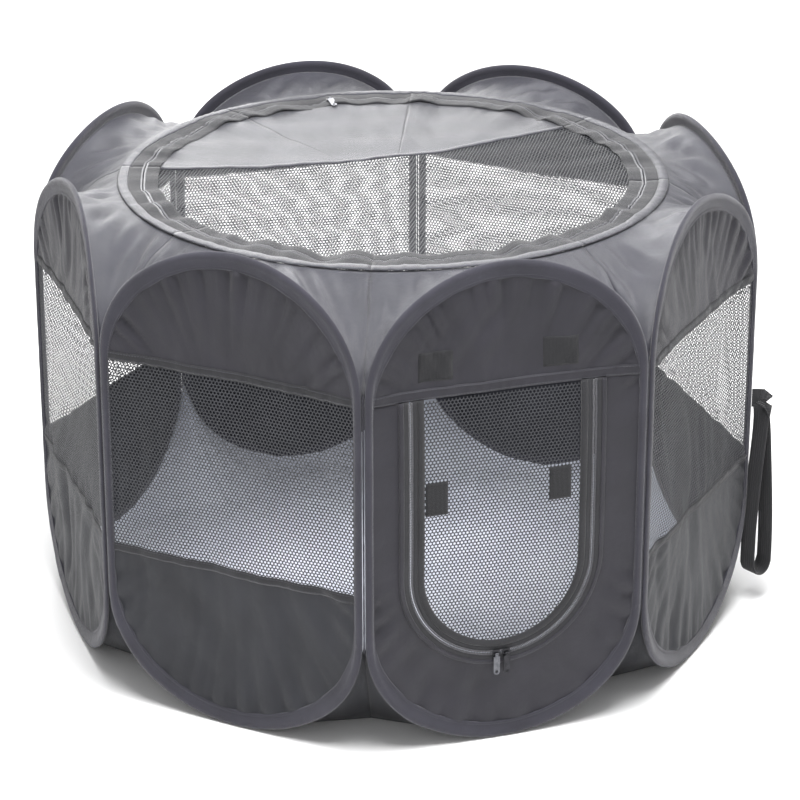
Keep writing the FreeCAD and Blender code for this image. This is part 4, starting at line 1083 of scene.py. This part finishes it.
# ------------------------------------------------------------------ floor and its gussets
low_end = hoop_end(False)
floor_inset = 0.012 * (1 - notch ** 5) - 0.0005 * notch ** 8
low_x = low_end[:, 0] - low_end[:, 2] * floor_inset
low_z = low_end[:, 1] - low_end[:, 3] * floor_inset
low_y = -0.0022 * (1 - notch ** 6)
CREASE_CORNER = CORNER - 0.0946
gusset_rows, floor_rows = 12, 26


def crease_row():
    """The crease on the ground in front of a panel, left to right, in its own frame."""
    side_x = CREASE_CORNER * math.sin(HALF_TURN)
    side_y = APOTHEM - CREASE_CORNER * math.cos(HALF_TURN)
    shares = np.linspace(0, 1, PER_GORE + 1)
    x = np.interp(shares, [0, 0.38, 0.62, 1], [-side_x, -0.030, 0.030, side_x])
    y = np.interp(shares, [0, 0.38, 0.62, 1], [side_y, 0.008, 0.008, side_y])
    return np.stack([x, y, np.full(PER_GORE + 1, 0.0009)], -1)


def floor_ring():
    bottom = np.stack([low_x, low_y, low_z], -1)
    crease = crease_row()
    centre = np.array([0.0, APOTHEM, 0.0009])
    up = np.linspace(0, 1, gusset_rows)[None, :, None]
    inwards = (np.linspace(0, 1, floor_rows)[1:])[None, :, None]
    around = []
    for number in range(8):
        gusset = bottom[:-1, None] * (1 - up) + crease[:-1, None] * up
        sheet = crease[:-1, None] * (1 - inwards) + centre[None, None] * inwards
        around.append(placed(np.concatenate([gusset, sheet], 1), number))
    return np.concatenate(around)


floor_grid = floor_ring()
up_share = np.concatenate([np.linspace(0, 1, gusset_rows), np.ones(floor_rows - 1)])
gusset_free = np.sin(np.clip(up_share, 0, 1) * math.pi)[None, :] * (up_share < 0.999)[None, :]
low_valley = smooth(in_gore, 0.75, 1.0)[:, None] * gusset_free
floor_grid = smoothed(floor_grid, 10, low_valley[..., None] * 0.8)
floor_x, floor_y = floor_grid[..., 0], floor_grid[..., 1]
on_floor = np.concatenate([np.zeros(gusset_rows - 1), np.ones(floor_rows)])[None, :]
wrinkle = ripple(floor_x / 0.13, floor_y / 0.20, 601, 7) + 0.6 * ripple(
    floor_x / 0.06, floor_y / 0.08, 602, 7)
rise_in = np.concatenate([np.zeros(gusset_rows), np.linspace(0, 1, floor_rows)[1:]])
edge_free = smooth(rise_in, 0, 0.12)[None, :] * on_floor
floor_grid[..., 2] += edge_free * np.clip(wrinkle + 0.4, 0, 2.5) ** 1.3 * 0.0034
gusset_folds = folds(round_place[:, None] * 10, 611) * 0.003
push = gusset_free * gusset_folds
radius = np.hypot(floor_x, floor_y)
floor_grid[..., 0] -= push * floor_x / np.maximum(radius, 1e-6)
floor_grid[..., 1] -= push * floor_y / np.maximum(radius, 1e-6)

def gore_cloth(kind, grid, number, materials, depth):
    """One panel's part of the roof or the floor, as a sheet of cloth."""
    name = NAMES[number]
    points = gore_slice(grid, number)
    rows = points.shape[1]
    made = piece(kind + "_cloth_" + name, points, grid_faces(PER_GORE + 1, rows, flip=True),
                 materials, "panel_" + name, gore_uv(rows, depth),
                 [kind + "_" + name], CLOTH_THICKNESS)
    return made


def band_piece(tag, band, number, materials, depth):
    """One panel's part of a band round the ring."""
    name, rows = NAMES[number], band.shape[1]
    return piece(tag + name, gore_slice(band, number), grid_faces(PER_GORE + 1, rows),
                 materials, "panel_" + name, gore_uv(rows, depth), (), TRIM_THICKNESS)


# The closed ring starts at panel 0's left notch, so gore_slice gives whole gores.
for number, name in enumerate(NAMES):
    made_pieces = [
        gore_cloth("roof", roof_grid, number, [ROOF, INNER], 0.12),
        band_piece("roof_hem_", hem_band, number, [ROOF], 0.014),
        band_piece("ring_tape_", tape_band, number, [ZIP_TAPE_CLOTH], 0.019)]
    for tag, sign in (("ring_coil_", 1), ("cover_coil_", -1)):
        vertices, quads = ring_teeth(number, sign)
        made_pieces.append(piece(tag + name, vertices, quads, [COIL_NYLON], "panel_" + name))
    # The cover's tape: painted highlight on its top, plain zip tape cloth beneath.
    made_pieces.append(band_piece("cover_tape_", cover_band, number,
                                  [RING_TAPE_PAINTED_HIGHLIGHT, ZIP_TAPE_CLOTH], 0.02))
    made_pieces.append(cover_net(number))
    if number in CLOTH_GORES:
        made_pieces.extend(cover_cloth(number))
    for made in made_pieces:
        squash_to_panel(made)
    squash_to_panel(gore_cloth("floor", floor_grid, number, [FLOOR, LOWER], 0.5))

# ------------------------------------------------------------------ zip hardware


def hardware(name, node, body, material, number=None):
    """A cast piece with softened edges in place of its plain solid."""
    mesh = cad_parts[node].data.copy()
    made = bpy.data.objects.new(name, mesh)
    bpy.context.scene.collection.objects.link(made)
    mesh.materials.clear()
    mesh.materials.append(material)
    edges = made.modifiers.new("edges", "BEVEL")
    edges.width = 0.00025
    edges.segments = 2
    edges.limit_method = "ANGLE"
    edges.angle_limit = math.radians(40)
    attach(made, body)
    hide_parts(node)
    if number is not None:
        squash_to_panel(made)


for side, metal in (("left", GREY_METAL), ("right", BLACK_METAL)):
    hardware("slider_" + side, "door_slider_" + side, "door_slider_" + side, BLACK_METAL)
    hardware("pull_" + side, "door_pull_" + side, "door_pull_" + side, metal)
hardware("ring_slider", "roof_slider", "roof_slider", BLACK_METAL, 4)
hardware("ring_pull", "roof_pull", "roof_pull", GREY_METAL, 4)

# ------------------------------------------------------------------ carry loop

LOOP_RADIUS = CORNER + (-sleeve_low.y - APOTHEM) * math.cos(HALF_TURN) + 0.014
LOOP_TOP, LOOP_DROP, LOOP_BEND = 0.300, 0.262, 0.0148
out = np.array([math.cos(-HALF_TURN), math.sin(-HALF_TURN), 0.0])
width_angle = math.radians(112.5)
loop_width_way = np.array([math.cos(width_angle), math.sin(width_angle), 0.0])
loop_side = np.array([math.sin(width_angle), -math.cos(width_angle), 0.0])


def loop_path():
    """Middle of the webbing: out of the seam, down one leg, round the bend and back."""
    bend_z = LOOP_TOP - LOOP_DROP + LOOP_BEND + 0.0008
    rows = []
    for share in np.linspace(0, 1, 30):
        spread = LOOP_BEND * smooth(share, 0, 1) ** 0.9 + 0.0022 * math.sin(share * math.pi)
        rows.append((-spread - 0.0010, LOOP_TOP - 0.014 + (bend_z - LOOP_TOP + 0.014) * share))
    for angle in np.linspace(math.pi, 2 * math.pi, 16)[1:-1]:
        rows.append((LOOP_BEND * math.cos(angle), bend_z + LOOP_BEND * math.sin(angle)))
    for share in np.linspace(1, 0, 30):
        spread = LOOP_BEND * smooth(share, 0, 1) ** 0.9 + 0.0015 * math.sin(share * math.pi)
        rows.append((spread + 0.0010, LOOP_TOP - 0.014 + (bend_z - LOOP_TOP + 0.014) * share))
    return np.array(rows)


def make_loop():
    rows = loop_path()
    base = out * LOOP_RADIUS
    points = base[None] + rows[:, :1] * loop_side[None]
    points[:, 2] = rows[:, 1]
    # Both ends come out of the seam as a flat tab with its width upright.
    half = len(rows) // 2
    share = np.concatenate([np.linspace(0, 1, half), np.linspace(1, 0, len(rows) - half)])
    twist = smooth(share, 0.0, 0.22)
    seam = out * (LOOP_RADIUS - 0.0145)
    stubs = []
    for sign in (-1, 1):
        run = np.linspace(0, 1, 6)[:-1, None]
        tip = base + sign * 0.0010 * loop_side
        stub = (seam + sign * 0.0009 * loop_side)[None] * (1 - run) + tip[None] * run
        stub[:, 2] = LOOP_TOP - 0.0125
        stubs.append(stub if sign < 0 else stub[::-1])
    points = np.concatenate([stubs[0], points, stubs[1]])
    twist = np.concatenate([np.zeros(5), twist, np.zeros(5)])
    tangent = np.gradient(points, axis=0)
    tangent /= np.linalg.norm(tangent, axis=1)[:, None]
    upright = np.array([0.0, 0.0, 1.0])
    way = upright[None] * (1 - twist[:, None]) + loop_width_way[None] * twist[:, None]
    way -= np.sum(way * tangent, 1)[:, None] * tangent
    way /= np.linalg.norm(way, axis=1)[:, None]
    normal = np.cross(tangent, way)
    # section: flat strap with rounded selvedges
    section = [(-12.5, 0.0), (-12.2, 0.5), (-11.2, 0.75), (0.0, 0.8), (11.2, 0.75), (12.2, 0.5),
               (12.5, 0.0), (12.2, -0.5), (11.2, -0.75), (0.0, -0.8), (-11.2, -0.75),
               (-12.2, -0.5)]
    section = np.array(section) / 1000
    grid = (points[:, None] + way[:, None] * section[None, :, :1]
            + normal[:, None] * section[None, :, 1:])
    uv = stacked(lengths_along(points)[:, None], section[None, :, 0])
    piece("carry_strap", grid, grid_faces(len(points), len(section), closed_columns=True),
          [WEBBING], "carry_loop", uv, ["carry_loop"])


make_loop()

# ------------------------------------------------------------------ floor, lights, camera

bpy.ops.mesh.primitive_plane_add(size=30, location=(0, 0, -0.0006))
ground = bpy.context.object
ground.name = "studio_floor"
pale = Shader("studio_floor")
ground.data.materials.append(pale.set(Base_Color=(0.96, 0.96, 0.96, 1), Roughness=0.7,
                                      Specular_IOR_Level=0.2))

world = bpy.data.worlds.new("studio")
bpy.context.scene.world = world
world.use_nodes = True
world.node_tree.nodes["Background"].inputs[0].default_value = (1, 1, 1, 1)
world.node_tree.nodes["Background"].inputs[1].default_value = 0.55


def area_light(name, place, target, size, power):
    lamp = bpy.data.lights.new(name, "AREA")
    lamp.shape = "DISK"
    lamp.size = size
    lamp.energy = power
    made = bpy.data.objects.new(name, lamp)
    bpy.context.scene.collection.objects.link(made)
    made.location = place
    way = Vector(target) - Vector(place)
    made.rotation_euler = way.to_track_quat("-Z", "Y").to_euler()


area_light("overhead", (-0.1, -0.7, 2.6), (0, 0.05, 0.2), 1.6, 114)
area_light("back_glow", (0.4, 3.4, 2.1), (0, 0, 0.5), 2.4, 100)
area_light("front_fill", (-1.9, -2.8, 1.6), (0, 0, 0.3), 2.4, 7)

bpy.context.scene.view_settings.view_transform = "Standard"

AZIMUTH = math.radians(-18.306)
ELEVATION = math.radians(23.045)
DISTANCE = 4.018
right_way = np.array([math.cos(AZIMUTH), math.sin(AZIMUTH), 0])
back_way = np.array([math.sin(AZIMUTH) * math.cos(ELEVATION),
                     -math.cos(AZIMUTH) * math.cos(ELEVATION), math.sin(ELEVATION)])
target = right_way * 0.0087 + np.array([0, 0, 0.2697])
camera_data = bpy.data.cameras.new("camera")
camera_data.sensor_width = 36
camera_data.lens = 138.8
camera = bpy.data.objects.new("camera", camera_data)
bpy.context.scene.collection.objects.link(camera)
camera.location = (target + back_way * DISTANCE).tolist()
camera.rotation_euler = Vector((-back_way).tolist()).to_track_quat("-Z", "Y").to_euler()
bpy.context.scene.camera = camera

bpy.context.view_layer.update()
